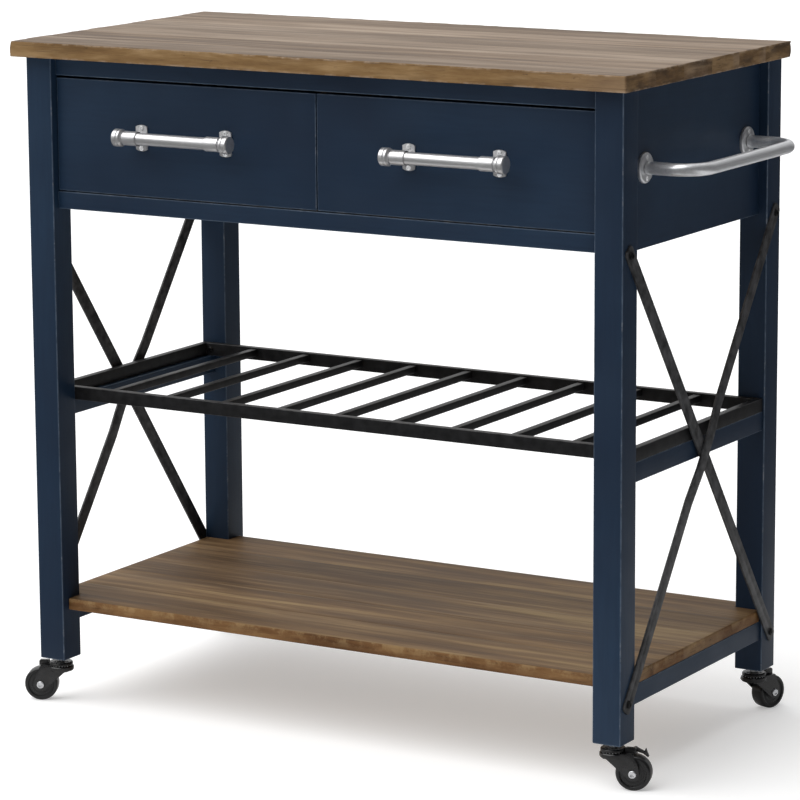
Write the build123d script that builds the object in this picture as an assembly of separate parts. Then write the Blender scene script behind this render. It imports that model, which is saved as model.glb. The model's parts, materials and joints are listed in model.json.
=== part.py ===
from build123d import *
import math
import os

os.makedirs("parts", exist_ok=True)

# Kitchen island cart: a timber table on four swivel casters, with two drawers under the worktop,
# a black steel slatted rack half way down, a plank shelf at the bottom, crossed steel braces at both
# ends and a towel bar on the right. Millimetres. X runs along the front, Y to the back, Z up.
# Sizes below are about the cart's own centre, on the floor. save() moves each piece so that the
# origin is under the middle of the whole outline, towel bar and casters included.
CART_X = -20.85
CART_Y = -0.3

# Overall sizes.
HEIGHT = 914.4
LEG_SPAN_X = 899.0
LEG_SPAN_Y = 456.8
LEG = 40.0
LEG_BOTTOM = 61.0
LEG_EDGE = 1.6

# Worktop.
TOP_THICK = 21.0
TOP_SIDE_OVERHANG = 13.4
TOP_FRONT_OVERHANG = 19.0

# Aprons, rails and panels.
APRON_BOTTOM = 687.0
BOARD = 18.0
PANEL = 15.0
FRONT_RECESS = 10.9
END_RECESS = 13.0
TOP_RAIL_HEIGHT = 25.0
LOWER_RAIL_HEIGHT = 23.5
SIDE_RAIL_THICK = 18.0
SIDE_RAIL_HEIGHT = 26.0
SIDE_RAIL_RECESS = 3.0
MIDDLE_RAIL_TOP = 421.0
SHELF_BOTTOM = 131.5
SHELF_THICK = 16.0
SHELF_RECESS = 12.0
NOTCH_GAP = 0.4
TOP_EDGE = 1.0
RAIL_EDGE = 1.2
FRONT_EDGE = 0.8

# Dowels that locate the rails and panels in the legs.
DOWEL_R = 4.0
DOWEL_HALF = 14.0
PANEL_DOWEL_Z = (740.0, 840.0)
BACK_DOWEL_Z = (715.0, 865.0)
FRONT_DOWEL_INSET = 12.0

# Angle brackets under the worktop, and their wood screws.
BRACKET = 22.0
BRACKET_T = 2.0
BRACKET_HALF = 10.0
BRACKET_HOLE = 13.0
BRACKET_END_Y = 110.0
BRACKET_BACK_X = 220.0
WOOD_SCREW_R = 1.8
WOOD_HEAD_R = 3.4
WOOD_HEAD_H = 1.8

# Drawers and their three-member ball bearing slides.
FRONT_THICK = 18.0
FRONT_GAP = 1.6
DRAWER_BOTTOM = 713.6
DRAWER_TOP = 865.4
BOX_BOTTOM = 722.0
BOX_HEIGHT = 120.0
BOX_WALL = 12.0
BOX_FLOOR = 5.0
BOX_DEPTH = 350.0
SLIDE_THICK = 12.7
SLIDE_HEIGHT = 45.0
SLIDE_METAL = 1.2
SLIDE_Z = 782.0
SLIDE_SETBACK = 6.0
CLEAT_HEIGHT = 60.0
FLOOR_LIFT = 6.0
FLOOR_GROOVE = 5.0

# Pipe handles.
HANDLE_Z = 794.5
HANDLE_POST = 66.0
HANDLE_HALF = 90.0
HANDLE_STANDOFF = 28.0
TUBE_R = 8.15
COLLAR_R = 9.6
CAP_R = 11.75
PLATE_W = 18.0
PLATE_H = 35.0
PLATE_T = 2.0
PLATE_DROP = 2.5
PLATE_SCREW = 13.5
PLATE_SCREW_R = 1.6
PLATE_SCREW_L = 14.0
PLATE_HEAD_R = 3.2
PLATE_HEAD_H = 1.6
POST_R = 5.0

# Towel bar.
BAR_Z = 789.0
BAR_HALF = 147.5
BAR_REACH = 75.0
BAR_R = 8.2
BAR_WALL = 1.5
BAR_BEND = 38.0
FLANGE_R = 19.5
FLANGE_T = 5.0
FLANGE_RIM = 2.0
FLANGE_SCREW = 13.2
FLANGE_SINK = 1.4
FLANGE_HEAD_H = 2.0

# Slatted rack.
RACK_W = 10.0
RACK_H = 18.0
RACK_WALL = 1.2
SLAT = 10.0
SLAT_DROP = 1.8
SLAT_COUNT = 9
SLAT_PITCH = 88.6
RACK_SCREW_R = 2.0
RACK_SCREW_L = 30.0
RACK_HEAD_R = 4.0
RACK_HEAD_H = 2.2

# Crossed braces.
BRACE_W = 19.5
BRACE_T = 2.5
BRACE_HALF_Y = 210.0
BRACE_LOW = 113.0
BRACE_HIGH = 687.0
BRACE_LIFT = 2.8
BRACE_END = 12.0
BRACE_CORNER = 6.0
BRACE_SCREW_R = 2.2
BRACE_SCREW_L = 24.0
BRACE_HEAD_R = 5.0
BRACE_HEAD_H = 2.6

# Casters, in their own frame: stem on Z, wheel trailing along X.
WHEEL_R = 23.0
WHEEL_HALF = 10.0
TRAIL = 27.0
ARM_IN = 11.2
ARM_T = 2.2
AXLE_R = 3.0
FIT = 0.06
KINGPIN_R = 3.0
CROWN_R = 17.8
CROWN_LOW = 42.2
CROWN_TOP = 48.8
CROWN_T = 2.2
CAP_LOW = 49.6
CAP_TOP = 56.5
RACE_CAP_R = 16.5
TAB_TOP = 55.6
PIVOT_X = 28.0
PIVOT_Z = 52.2
PIVOT_R = 1.5
NUT_LOW = 54.6
SOCKET_R = 8.0
SOCKET_BORE = 5.0
SOCKET_DEPTH = 34.0

# Worked out from the sizes above.
OUT_X = LEG_SPAN_X / 2
OUT_Y = LEG_SPAN_Y / 2
IN_X = OUT_X - LEG
IN_Y = OUT_Y - LEG
TOP_UNDER = HEIGHT - TOP_THICK
FACE_Y = -OUT_Y + FRONT_RECESS
PANEL_X = OUT_X - END_RECESS
RAIL_X = OUT_X - SIDE_RAIL_RECESS
STEM_X = OUT_X - LEG / 2
STEM_Y = OUT_Y - LEG / 2
RACK_TOP = MIDDLE_RAIL_TOP + RACK_H
SHELF_TOP = SHELF_BOTTOM + SHELF_THICK
BACK_PANEL_Y = OUT_Y - FRONT_RECESS
HANDLE_X = IN_X / 2
HANDLE_Y = FACE_Y - HANDLE_STANDOFF
BRACE_RUN = 2 * BRACE_HALF_Y
BRACE_RISE = BRACE_HIGH - BRACE_LOW
BRACE_SPAN = math.hypot(BRACE_RUN, BRACE_RISE)
BRACE_TILT = math.degrees(math.atan2(BRACE_RISE, BRACE_RUN))

LEGS = {
    "front_left": (-1, -1),
    "front_right": (1, -1),
    "back_left": (-1, 1),
    "back_right": (1, 1),
}
# Which way each caster happens to trail, in degrees from +X towards +Y.
TRAIL_ANGLE = {
    "front_left": 205.0,
    "front_right": 17.0,
    "back_left": 120.0,
    "back_right": 70.0,
}
BRAKED = ("front_right", "back_left")


def save(name, shape):
    """Write one node, moved from the cart's frame to the part's own."""
    export_step(Pos(CART_X, CART_Y, 0) * shape, f"parts/{name}.step")


def block(x, y, z):
    """A box from three (low, high) pairs."""
    size = [high - low for low, high in (x, y, z)]
    middle = [(high + low) / 2 for low, high in (x, y, z)]
    return Pos(*middle) * Box(*size)


def rod(start, along, radius, length):
    """A round bar from a point, along a direction."""
    foot = (Align.CENTER, Align.CENTER, Align.MIN)
    return Plane(origin=start, z_dir=along) * Cylinder(radius, length, align=foot)


def group(pieces):
    """Separate solids kept in one node."""
    return Compound([solid for piece in pieces for solid in piece.solids()])


def cut(piece, tools):
    for tool in tools:
        piece = piece - tool
    return piece


def spin(points):
    """A solid turned about Z from its half outline of (radius, height) points."""
    outline = make_face(Polyline(*[(r, 0, z) for r, z in points], close=True))
    return revolve(outline, Axis.Z)


def screw(start, along, head_r, head_h, shank_r, shank_l):
    """A pan head screw: the head stands out from start, the shank runs in the other way."""
    inward = tuple(-c for c in along)
    head = rod(start, along, head_r, head_h)
    rim = head.edges().sort_by(Axis(start, along))[-1]
    head = fillet(rim, head_h * 0.5)
    tip = tuple(s + c * head_h for s, c in zip(start, along))
    slot = rod(tip, inward, head_r * 0.38, head_h * 0.55)
    return head - slot + rod(start, inward, shank_r, shank_l)


# ---------------------------------------------------------------- timber frame


def dowel_group():
    """Beech dowels that locate the rails and panels in the legs."""
    radius, half = DOWEL_R, DOWEL_HALF
    rail_drop = SIDE_RAIL_HEIGHT / 2
    pins = []
    for sx in (-1, 1):
        for sy in (-1, 1):
            for z in PANEL_DOWEL_Z:
                side = (sx * (PANEL_X - PANEL / 2), sy * IN_Y - half, z)
                pins.append(rod(side, (0, 1, 0), radius, 2 * half))
            for z in (MIDDLE_RAIL_TOP - rail_drop, SHELF_BOTTOM - rail_drop):
                rail = (sx * (RAIL_X - SIDE_RAIL_THICK / 2), sy * IN_Y - half, z)
                pins.append(rod(rail, (0, 1, 0), radius, 2 * half))
        for z in BACK_DOWEL_Z:
            back = (sx * IN_X - half, BACK_PANEL_Y - PANEL / 2, z)
            pins.append(rod(back, (1, 0, 0), radius, 2 * half))
        for z in (APRON_BOTTOM + FRONT_DOWEL_INSET, TOP_UNDER - FRONT_DOWEL_INSET):
            front = (sx * IN_X - half, FACE_Y + BOARD / 2, z)
            pins.append(rod(front, (1, 0, 0), radius, 2 * half))
    return pins


DOWELS = dowel_group()
save("frame_dowels", group(DOWELS))


def brace_screw_points(side):
    """Where the four brace screws enter the outer faces of one pair of legs."""
    return [
        (side * OUT_X, sy * BRACE_HALF_Y, z)
        for sy in (-1, 1)
        for z in (BRACE_LOW, BRACE_HIGH)
    ]


def brace_holes(side):
    inward = (-side, 0, 0)
    depth = BRACE_SCREW_L - BRACE_T + 0.5
    return [rod(p, inward, BRACE_SCREW_R, depth) for p in brace_screw_points(side)]


def rack_screw_points(side):
    """Screws through the rack's front and back bars into the legs."""
    z = MIDDLE_RAIL_TOP + RACK_H / 2
    return [(side * STEM_X, sy * (IN_Y - RACK_W), z) for sy in (-1, 1)]


def rack_holes(side):
    holes = []
    for x, y, z in rack_screw_points(side):
        outward = (0, math.copysign(1, y), 0)
        holes.append(rod((x, y, z), outward, RACK_SCREW_R, RACK_SCREW_L))
    return holes


def leg(name):
    sx, sy = LEGS[name]
    x = sorted((sx * OUT_X, sx * IN_X))
    y = sorted((sy * OUT_Y, sy * IN_Y))
    post = block(x, y, (LEG_BOTTOM, TOP_UNDER))
    post = fillet(post.edges().filter_by(Axis.Z), LEG_EDGE)
    post = chamfer(post.faces().sort_by(Axis.Z)[0].edges(), TOP_EDGE)
    socket = rod((sx * STEM_X, sy * STEM_Y, LEG_BOTTOM), (0, 0, 1), SOCKET_R, SOCKET_DEPTH)
    return cut(post, [socket] + DOWELS + brace_holes(sx) + rack_holes(sx))


for place in LEGS:
    save(f"leg_{place}", leg(place))


def side_panel(side):
    x = sorted((side * PANEL_X, side * (PANEL_X - PANEL)))
    board = block(x, (-IN_Y, IN_Y), (APRON_BOTTOM, TOP_UNDER))
    return cut(board, DOWELS)


def side_rail(side, top):
    """A rail between a front and a back leg, its long edges eased."""
    x = sorted((side * RAIL_X, side * (RAIL_X - SIDE_RAIL_THICK)))
    rail = block(x, (-IN_Y, IN_Y), (top - SIDE_RAIL_HEIGHT, top))
    rail = fillet(rail.edges().filter_by(Axis.Y), RAIL_EDGE)
    return cut(rail, DOWELS)


def front_rail(low, high):
    rail = block((-IN_X, IN_X), (FACE_Y, FACE_Y + BOARD), (low, high))
    rail = fillet(rail.edges().filter_by(Axis.X).group_by(Axis.Y)[0], FRONT_EDGE)
    return cut(rail, DOWELS)


RAIL_BACK = FACE_Y + BOARD
PARTITION_FRONT = FACE_Y + FRONT_THICK + 3.0
BACK_INNER = BACK_PANEL_Y - PANEL
TOP_RAIL_LOW = TOP_UNDER - TOP_RAIL_HEIGHT
LOWER_RAIL_HIGH = APRON_BOTTOM + LOWER_RAIL_HEIGHT + 1.5

save("side_panel_left", side_panel(-1))
save("side_panel_right", side_panel(1))
save("middle_side_rails", group([side_rail(side, MIDDLE_RAIL_TOP) for side in (-1, 1)]))
save("lower_side_rails", group([side_rail(side, SHELF_BOTTOM) for side in (-1, 1)]))
save("front_top_rail", front_rail(TOP_RAIL_LOW, TOP_UNDER))
save("front_lower_rail", front_rail(APRON_BOTTOM + 1.5, LOWER_RAIL_HIGH))

back = block((-IN_X, IN_X), (BACK_INNER, BACK_PANEL_Y), (APRON_BOTTOM, TOP_UNDER))
save("back_panel", cut(back, DOWELS))


def partition():
    """The board between the drawers. Its front edge is notched behind the drawer fronts."""
    half = PANEL / 2
    board = block((-half, half), (PARTITION_FRONT, BACK_INNER), (APRON_BOTTOM, TOP_UNDER))
    foot = block((-half, half), (RAIL_BACK, PARTITION_FRONT), (APRON_BOTTOM, LOWER_RAIL_HIGH - 1.0))
    head = block((-half, half), (RAIL_BACK, PARTITION_FRONT), (TOP_RAIL_LOW + 1.0, TOP_UNDER))
    return board + foot + head


save("centre_partition", partition())

PANEL_INNER = PANEL_X - PANEL


def cleat(side):
    """A batten that brings the slide out flush with the legs' inner faces."""
    x = sorted((side * PANEL_INNER, side * IN_X))
    z = (SLIDE_Z - CLEAT_HEIGHT / 2, SLIDE_Z + CLEAT_HEIGHT / 2)
    return block(x, (-IN_Y, IN_Y), z)


save("slide_cleats", group([cleat(-1), cleat(1)]))


def worktop():
    x = OUT_X + TOP_SIDE_OVERHANG
    slab = block((-x, x), (-OUT_Y - TOP_FRONT_OVERHANG, OUT_Y), (TOP_UNDER, HEIGHT))
    slab = fillet(slab.edges().filter_by(Axis.Z), 2 * TOP_EDGE)
    return chamfer(slab.faces().sort_by(Axis.Z)[-1].edges(), TOP_EDGE)


save("worktop", worktop())


def shelf():
    """The bottom shelf, notched round the four legs."""
    y = OUT_Y - SHELF_RECESS
    slab = block((-RAIL_X, RAIL_X), (-y, y), (SHELF_BOTTOM, SHELF_TOP))
    gap = NOTCH_GAP
    for sx in (-1, 1):
        for sy in (-1, 1):
            nx = sorted((sx * (IN_X - gap), sx * OUT_X))
            ny = sorted((sy * (IN_Y - gap), sy * OUT_Y))
            slab -= block(nx, ny, (SHELF_BOTTOM - 1, SHELF_TOP + 1))
    return chamfer(slab.faces().sort_by(Axis.Z)[-1].edges(), FRONT_EDGE)


save("bottom_shelf", shelf())

# ---------------------------------------------------------------- top brackets

BRACKET_PLACES = [
    (sx * PANEL_INNER, sy * BRACKET_END_Y, -sx, 0) for sx in (-1, 1) for sy in (-1, 1)
] + [(sx * BRACKET_BACK_X, BACK_INNER, 0, -1) for sx in (-1, 1)]


def top_bracket(x, y, nx, ny):
    """A steel angle: one leg on the board, the other under the worktop."""
    half = BRACKET_HALF
    plate_x = (min(0, nx * BRACKET), max(0, nx * BRACKET)) if nx else (-half, half)
    plate_y = (min(0, ny * BRACKET), max(0, ny * BRACKET)) if ny else (-half, half)
    wall_x = (min(0, nx * BRACKET_T), max(0, nx * BRACKET_T)) if nx else (-half, half)
    wall_y = (min(0, ny * BRACKET_T), max(0, ny * BRACKET_T)) if ny else (-half, half)
    plate = block(plate_x, plate_y, (TOP_UNDER - BRACKET_T, TOP_UNDER))
    wall = block(wall_x, wall_y, (TOP_UNDER - BRACKET, TOP_UNDER))
    out = BRACKET_HOLE
    hole = rod((nx * out, ny * out, TOP_UNDER - BRACKET), (0, 0, 1), WOOD_SCREW_R, BRACKET)
    other = rod((0, 0, TOP_UNDER - out), (nx, ny, 0), WOOD_SCREW_R, BRACKET_T)
    return Pos(x, y, 0) * (plate + wall - hole - other)


def bracket_screws(x, y, nx, ny):
    out = BRACKET_HOLE
    size = (WOOD_HEAD_R, WOOD_HEAD_H, WOOD_SCREW_R, BRACKET_T)
    under = (x + nx * out, y + ny * out, TOP_UNDER - BRACKET_T)
    wall = (x + nx * BRACKET_T, y + ny * BRACKET_T, TOP_UNDER - out)
    return [screw(under, (0, 0, -1), *size), screw(wall, (nx, ny, 0), *size)]


save("top_brackets", group([top_bracket(*place) for place in BRACKET_PLACES]))
save("bracket_screws", group([s for place in BRACKET_PLACES for s in bracket_screws(*place)]))

# ---------------------------------------------------------------- rack


def tube_along(axis, start, end, across, z):
    """A rectangular steel tube, open at its ends, along X or Y. across is its centre line."""
    low, high = z
    height = high - low
    width = RACK_W
    outer = (across - width / 2, across + width / 2)
    inner = (outer[0] + RACK_WALL, outer[1] - RACK_WALL)
    bore_z = (low + RACK_WALL, high - RACK_WALL)
    if axis == "x":
        return block((start, end), outer, z) - block((start, end), inner, bore_z)
    return block(outer, (start, end), z) - block(inner, (start, end), bore_z)


RACK_SIDE_X = RAIL_X - RACK_W / 2
RACK_END_Y = IN_Y - RACK_W / 2
RACK_Z = (MIDDLE_RAIL_TOP, RACK_TOP)
SLAT_Z = (RACK_TOP - SLAT_DROP - SLAT, RACK_TOP - SLAT_DROP)
SLAT_HALF = IN_Y - RACK_W

rack_bars = [tube_along("y", -IN_Y, IN_Y, side * RACK_SIDE_X, RACK_Z) for side in (-1, 1)]
rack_bars += [
    cut(
        tube_along("x", -RAIL_X + RACK_W, RAIL_X - RACK_W, side * RACK_END_Y, RACK_Z),
        rack_holes(-1) + rack_holes(1),
    )
    for side in (-1, 1)
]
save("rack_frame", group(rack_bars))

slats = []
for i in range(SLAT_COUNT):
    slat_x = (i - (SLAT_COUNT - 1) / 2) * SLAT_PITCH
    slats.append(tube_along("y", -SLAT_HALF, SLAT_HALF, slat_x, SLAT_Z))
save("rack_slats", group(slats))

# ---------------------------------------------------------------- braces


def flat_bar(lift):
    """A flat bar along X, its end holes at x = 0 and BRACE_SPAN, bowed out by lift at the middle."""
    middle = BRACE_SPAN / 2
    flat, ramp = 26.0, 46.0
    ends = (-BRACE_END, BRACE_SPAN + BRACE_END)
    inner = [
        (ends[0], 0),
        (middle - flat - ramp, 0),
        (middle - flat, lift),
        (middle + flat, lift),
        (middle + flat + ramp, 0),
        (ends[1], 0),
    ]
    outer = [(x, z + BRACE_T) for x, z in reversed(inner)]
    if lift == 0:
        inner, outer = [inner[0], inner[-1]], [outer[0], outer[-1]]
    side = make_face(Polyline(*[(x, 0, z) for x, z in inner + outer], close=True))
    bar = extrude(side, amount=BRACE_W / 2, dir=(0, 1, 0), both=True)
    bar = fillet(bar.edges().filter_by(Axis.Z), BRACE_CORNER)
    holes = [rod((x, 0, -1), (0, 0, 1), BRACE_SCREW_R, BRACE_T + 2) for x in (0, BRACE_SPAN)]
    return cut(bar, holes)


def brace(side, rising, lift):
    """One diagonal on the outer faces of a pair of legs. rising runs up towards the back."""
    foot_y = -BRACE_HALF_Y if rising else BRACE_HALF_Y
    along = (0, BRACE_RUN if rising else -BRACE_RUN, BRACE_RISE)
    place = Plane(origin=(side * OUT_X, foot_y, BRACE_LOW), x_dir=along, z_dir=(side, 0, 0))
    return place * flat_bar(lift)


for side, name in ((-1, "left"), (1, "right")):
    crossed = [brace(side, False, 0), brace(side, True, BRACE_LIFT)]
    save(f"{name}_braces", group(crossed))

BRACE_SCREW = (BRACE_HEAD_R, BRACE_HEAD_H, BRACE_SCREW_R, BRACE_SCREW_L)
RACK_SCREW = (RACK_HEAD_R, RACK_HEAD_H, RACK_SCREW_R, RACK_SCREW_L)

black_screws = []
for side in (-1, 1):
    for x, y, z in brace_screw_points(side):
        black_screws.append(screw((x + side * BRACE_T, y, z), (side, 0, 0), *BRACE_SCREW))
    for point in rack_screw_points(side):
        toward = (0, -math.copysign(1, point[1]), 0)
        black_screws.append(screw(point, toward, *RACK_SCREW))
save("brace_and_rack_screws", group(black_screws))

# ---------------------------------------------------------------- towel bar


def towel_bar():
    """A U of round tube between its two flanges."""
    foot = PANEL_X + FLANGE_T
    reach = PANEL_X + BAR_REACH
    path = FilletPolyline(
        (foot, -BAR_HALF, BAR_Z),
        (reach, -BAR_HALF, BAR_Z),
        (reach, BAR_HALF, BAR_Z),
        (foot, BAR_HALF, BAR_Z),
        radius=BAR_BEND,
    )
    start = Plane(origin=(foot, -BAR_HALF, BAR_Z), z_dir=(1, 0, 0))
    outer = sweep(start * Circle(BAR_R), path=path)
    return outer - sweep(start * Circle(BAR_R - BAR_WALL), path=path)


def flange(sy):
    """A turned rose with a softened rim, on the end panel."""
    disc = rod((PANEL_X, sy * BAR_HALF, BAR_Z), (1, 0, 0), FLANGE_R, FLANGE_T)
    rim = disc.edges().sort_by(Axis.X)[-1]
    disc = fillet(rim, FLANGE_RIM)
    return cut(disc, flange_holes(sy))


def flange_screw_points(sy):
    x = PANEL_X + FLANGE_T - FLANGE_SINK
    return [(x, sy * BAR_HALF, BAR_Z + dz) for dz in (-FLANGE_SCREW, FLANGE_SCREW)]


def flange_holes(sy):
    holes = []
    for p in flange_screw_points(sy):
        holes.append(rod(p, (1, 0, 0), WOOD_HEAD_R + 0.2, FLANGE_T))
        holes.append(rod(p, (-1, 0, 0), WOOD_SCREW_R, FLANGE_T))
    return holes


save("towel_bar", towel_bar())
save("towel_bar_flanges", group([flange(-1), flange(1)]))
TOWEL_SCREW = (WOOD_HEAD_R, FLANGE_HEAD_H, WOOD_SCREW_R, FLANGE_T - FLANGE_SINK)
towel_screws = [
    screw(p, (1, 0, 0), *TOWEL_SCREW) for sy in (-1, 1) for p in flange_screw_points(sy)
]
save("towel_bar_screws", group(towel_screws))

# ---------------------------------------------------------------- drawers


def channel(web_u, lip_u, half_v):
    """A slide member's C section between two depths off the cabinet, as a run along Y."""
    near, far = sorted((web_u, lip_u))
    thick = SLIDE_METAL
    body = block((near, far), (0, BOX_DEPTH), (-half_v, half_v))
    open_u = (near - 1, far - thick) if web_u > lip_u else (near + thick, far + 1)
    return body - block(open_u, (-1, BOX_DEPTH + 1), (-half_v + thick, half_v - thick))


SLIDE_START_Y = FACE_Y + FRONT_THICK + SLIDE_SETBACK
# Depth of the web and of the lips off the cabinet, and half the height.
SLIDE_MEMBERS = {
    "cabinet": (0.0, 9.6, SLIDE_HEIGHT / 2),
    "middle": (2.2, 9.6, 19.0),
    "drawer": (SLIDE_THICK, 5.0, 15.6),
}


def slide_member(kind, wall_x, toward):
    """One member of the slide on a wall at wall_x. toward is the side the drawer lies on."""
    run = channel(*SLIDE_MEMBERS[kind])
    if toward < 0:
        run = mirror(run, Plane.YZ)
    return Pos(wall_x, SLIDE_START_Y, SLIDE_Z) * run


def slide_walls(side):
    """The two faces that carry one drawer's slides, with the way to the drawer."""
    return [(side * IN_X, -side), (side * PANEL / 2, side)]


cabinet = [slide_member("cabinet", *wall) for side in (-1, 1) for wall in slide_walls(side)]
save("cabinet_slide_members", group(cabinet))


def handle_bar(x):
    """A tube with a stepped collar and a grooved cap at each end."""
    end = HANDLE_HALF
    half_outline = [
        (TUBE_R, 0),
        (TUBE_R, end - 36.5),
        (COLLAR_R, end - 34.0),
        (COLLAR_R, end - 15.0),
        (COLLAR_R - 1.2, end - 15.0),
        (COLLAR_R - 1.2, end - 13.5),
        (COLLAR_R + 0.2, end - 13.5),
        (CAP_R, end - 11.0),
        (CAP_R, end - 8.2),
        (CAP_R - 0.7, end - 7.5),
        (CAP_R, end - 6.8),
        (CAP_R, end - 1.2),
        (CAP_R - 1.2, end),
    ]
    mirrored = [(r, -z) for r, z in reversed(half_outline)]
    turned = spin([(0, -end)] + mirrored[:-1] + half_outline[1:] + [(0, end)])
    return Plane(origin=(x, HANDLE_Y, HANDLE_Z), z_dir=(1, 0, 0)) * turned


def handle_plate_screws(x):
    """Two screws in each foot plate, above and below the post."""
    size = (PLATE_HEAD_R, PLATE_HEAD_H, PLATE_SCREW_R, PLATE_SCREW_L)
    made = []
    for sp in (-1, 1):
        for dz in (-PLATE_SCREW, PLATE_SCREW):
            spot = (x + sp * HANDLE_POST, FACE_Y - PLATE_T, HANDLE_Z - PLATE_DROP + dz)
            made.append(screw(spot, (0, -1, 0), *size))
    return made


def handle_bracket(x, bar):
    """A rounded foot plate with a post that reaches the tube."""
    plate = block((-PLATE_W / 2, PLATE_W / 2), (FACE_Y - PLATE_T, FACE_Y), (-PLATE_H / 2, PLATE_H / 2))
    crown = rod((0, FACE_Y - PLATE_T, 0), (0, 1, 0), PLATE_H / 2, PLATE_T)
    plate = Pos(x, 0, HANDLE_Z - PLATE_DROP) * (plate & crown)
    reach = HANDLE_STANDOFF - PLATE_T - TUBE_R + 2
    post = rod((x, FACE_Y - PLATE_T, HANDLE_Z), (0, -1, 0), POST_R, reach)
    holes = []
    for dz in (-PLATE_SCREW, PLATE_SCREW):
        start = (x, FACE_Y - PLATE_T - 1, HANDLE_Z - PLATE_DROP + dz)
        holes.append(rod(start, (0, 1, 0), PLATE_SCREW_R, PLATE_T + 2))
    return cut(plate + post - bar, holes)


def drawer(side, name):
    inner, outer = FRONT_GAP / 2, IN_X - FRONT_GAP
    front_x = sorted((side * inner, side * outer))
    box_in = PANEL / 2 + SLIDE_THICK
    box_out = IN_X - SLIDE_THICK
    box_front = FACE_Y + FRONT_THICK
    box_back = box_front + BOX_DEPTH
    box_top = BOX_BOTTOM + BOX_HEIGHT
    wall_z = (BOX_BOTTOM, box_top)
    centre = side * HANDLE_X
    screws = handle_plate_screws(centre)

    front = block(front_x, (FACE_Y, box_front), (DRAWER_BOTTOM, DRAWER_TOP))
    front = fillet(front.faces().sort_by(Axis.Y)[0].edges(), TOP_EDGE)
    save(f"{name}_drawer_front", cut(front, screws))

    groove = BOX_WALL - FLOOR_GROOVE
    floor_z = (BOX_BOTTOM + FLOOR_LIFT, BOX_BOTTOM + FLOOR_LIFT + BOX_FLOOR)
    floor_x = sorted((side * (box_in + groove), side * (box_out - groove)))
    floor = block(floor_x, (box_front + groove, box_back - groove), floor_z)
    save(f"{name}_drawer_bottom", floor)

    def wall(near, far):
        return block(sorted((side * near, side * far)), (box_front, box_back), wall_z)

    across_x = sorted((side * (box_in + BOX_WALL), side * (box_out - BOX_WALL)))
    walls = [
        wall(box_in, box_in + BOX_WALL),
        wall(box_out - BOX_WALL, box_out),
        block(across_x, (box_front, box_front + BOX_WALL), wall_z),
        block(across_x, (box_back - BOX_WALL, box_back), wall_z),
    ]
    save(f"{name}_drawer_walls", group([piece - floor for piece in walls]))

    members = [slide_member("drawer", *w) for w in slide_walls(side)]
    save(f"{name}_drawer_slide_members", group(members))
    middles = [slide_member("middle", *w) for w in slide_walls(side)]
    save(f"{name}_middle_slide_members", group(middles))

    bar = handle_bar(centre)
    brackets = [handle_bracket(centre + sp * HANDLE_POST, bar) for sp in (-1, 1)]
    save(f"{name}_handle_bar", bar)
    save(f"{name}_handle_brackets", group(brackets))
    save(f"{name}_handle_screws", group(screws))


drawer(-1, "left")
drawer(1, "right")

# ---------------------------------------------------------------- casters

ARM_OUT = ARM_IN + ARM_T


def socket_sleeve():
    """The steel sleeve driven into a leg's end."""
    sleeve = rod((0, 0, LEG_BOTTOM), (0, 0, 1), SOCKET_R, SOCKET_DEPTH)
    return sleeve - rod((0, 0, LEG_BOTTOM), (0, 0, 1), SOCKET_BORE, SOCKET_DEPTH)


def stem():
    """Threaded stem, tapered hexagon, and the kingpin that the fork turns on."""
    thread = rod((0, 0, LEG_BOTTOM), (0, 0, 1), SOCKET_BORE, SOCKET_DEPTH - 4.0)
    hexagon = Pos(0, 0, NUT_LOW) * extrude(RegularPolygon(7.6, 6, major_radius=False), LEG_BOTTOM - NUT_LOW)
    taper = spin([(0, NUT_LOW), (4.8, NUT_LOW), (7.8, 58.2), (9.0, 59.0), (9.0, LEG_BOTTOM), (0, LEG_BOTTOM)])
    turned = spin(
        [
            (0, 44.0),
            (5.0, 44.0),
            (5.4, 44.4),
            (5.4, CROWN_TOP - CROWN_T - 0.3),
            (KINGPIN_R, CROWN_TOP - CROWN_T - 0.3),
            (KINGPIN_R, NUT_LOW),
            (0, NUT_LOW),
        ]
    )
    return thread + (hexagon & taper) + turned


def race_cap():
    """The upper bearing cap, fixed on the stem, its race ring just above the fork."""
    r = RACE_CAP_R
    return spin(
        [
            (KINGPIN_R, CROWN_TOP + 0.3),
            (r - 2.2, CROWN_TOP + 0.3),
            (r - 2.2, CAP_LOW),
            (r - 0.6, CAP_LOW + 0.3),
            (r, CAP_LOW + 1.0),
            (r, CAP_TOP - 2.0),
            (r - 0.8, CAP_TOP - 0.7),
            (r - 2.4, CAP_TOP),
            (r - 4.2, CAP_TOP - 0.2),
            (8.2, NUT_LOW),
            (KINGPIN_R, NUT_LOW),
        ]
    )


def arm(sy):
    """One cheek of the fork, from the nose down to the axle."""
    outline = [
        (-11.6, CROWN_TOP - 0.4),
        (-13.0, 44.0),
        (-11.0, 41.6),
        (-6.8, 41.0),
        (20.6, 16.8),
        (TRAIL, WHEEL_R),
        (35.4, 25.0),
        (34.2, 33.0),
        (27.5, CROWN_TOP),
    ]
    cheek = make_face(Polyline(*[(x, 0, z) for x, z in outline], close=True))
    plate = extrude(cheek, amount=ARM_T, dir=(0, 1, 0))
    boss = rod((TRAIL, 0, WHEEL_R), (0, 1, 0), 8.6, ARM_T)
    start = ARM_IN if sy > 0 else -ARM_OUT
    return Pos(0, start, 0) * (plate + boss)


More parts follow.
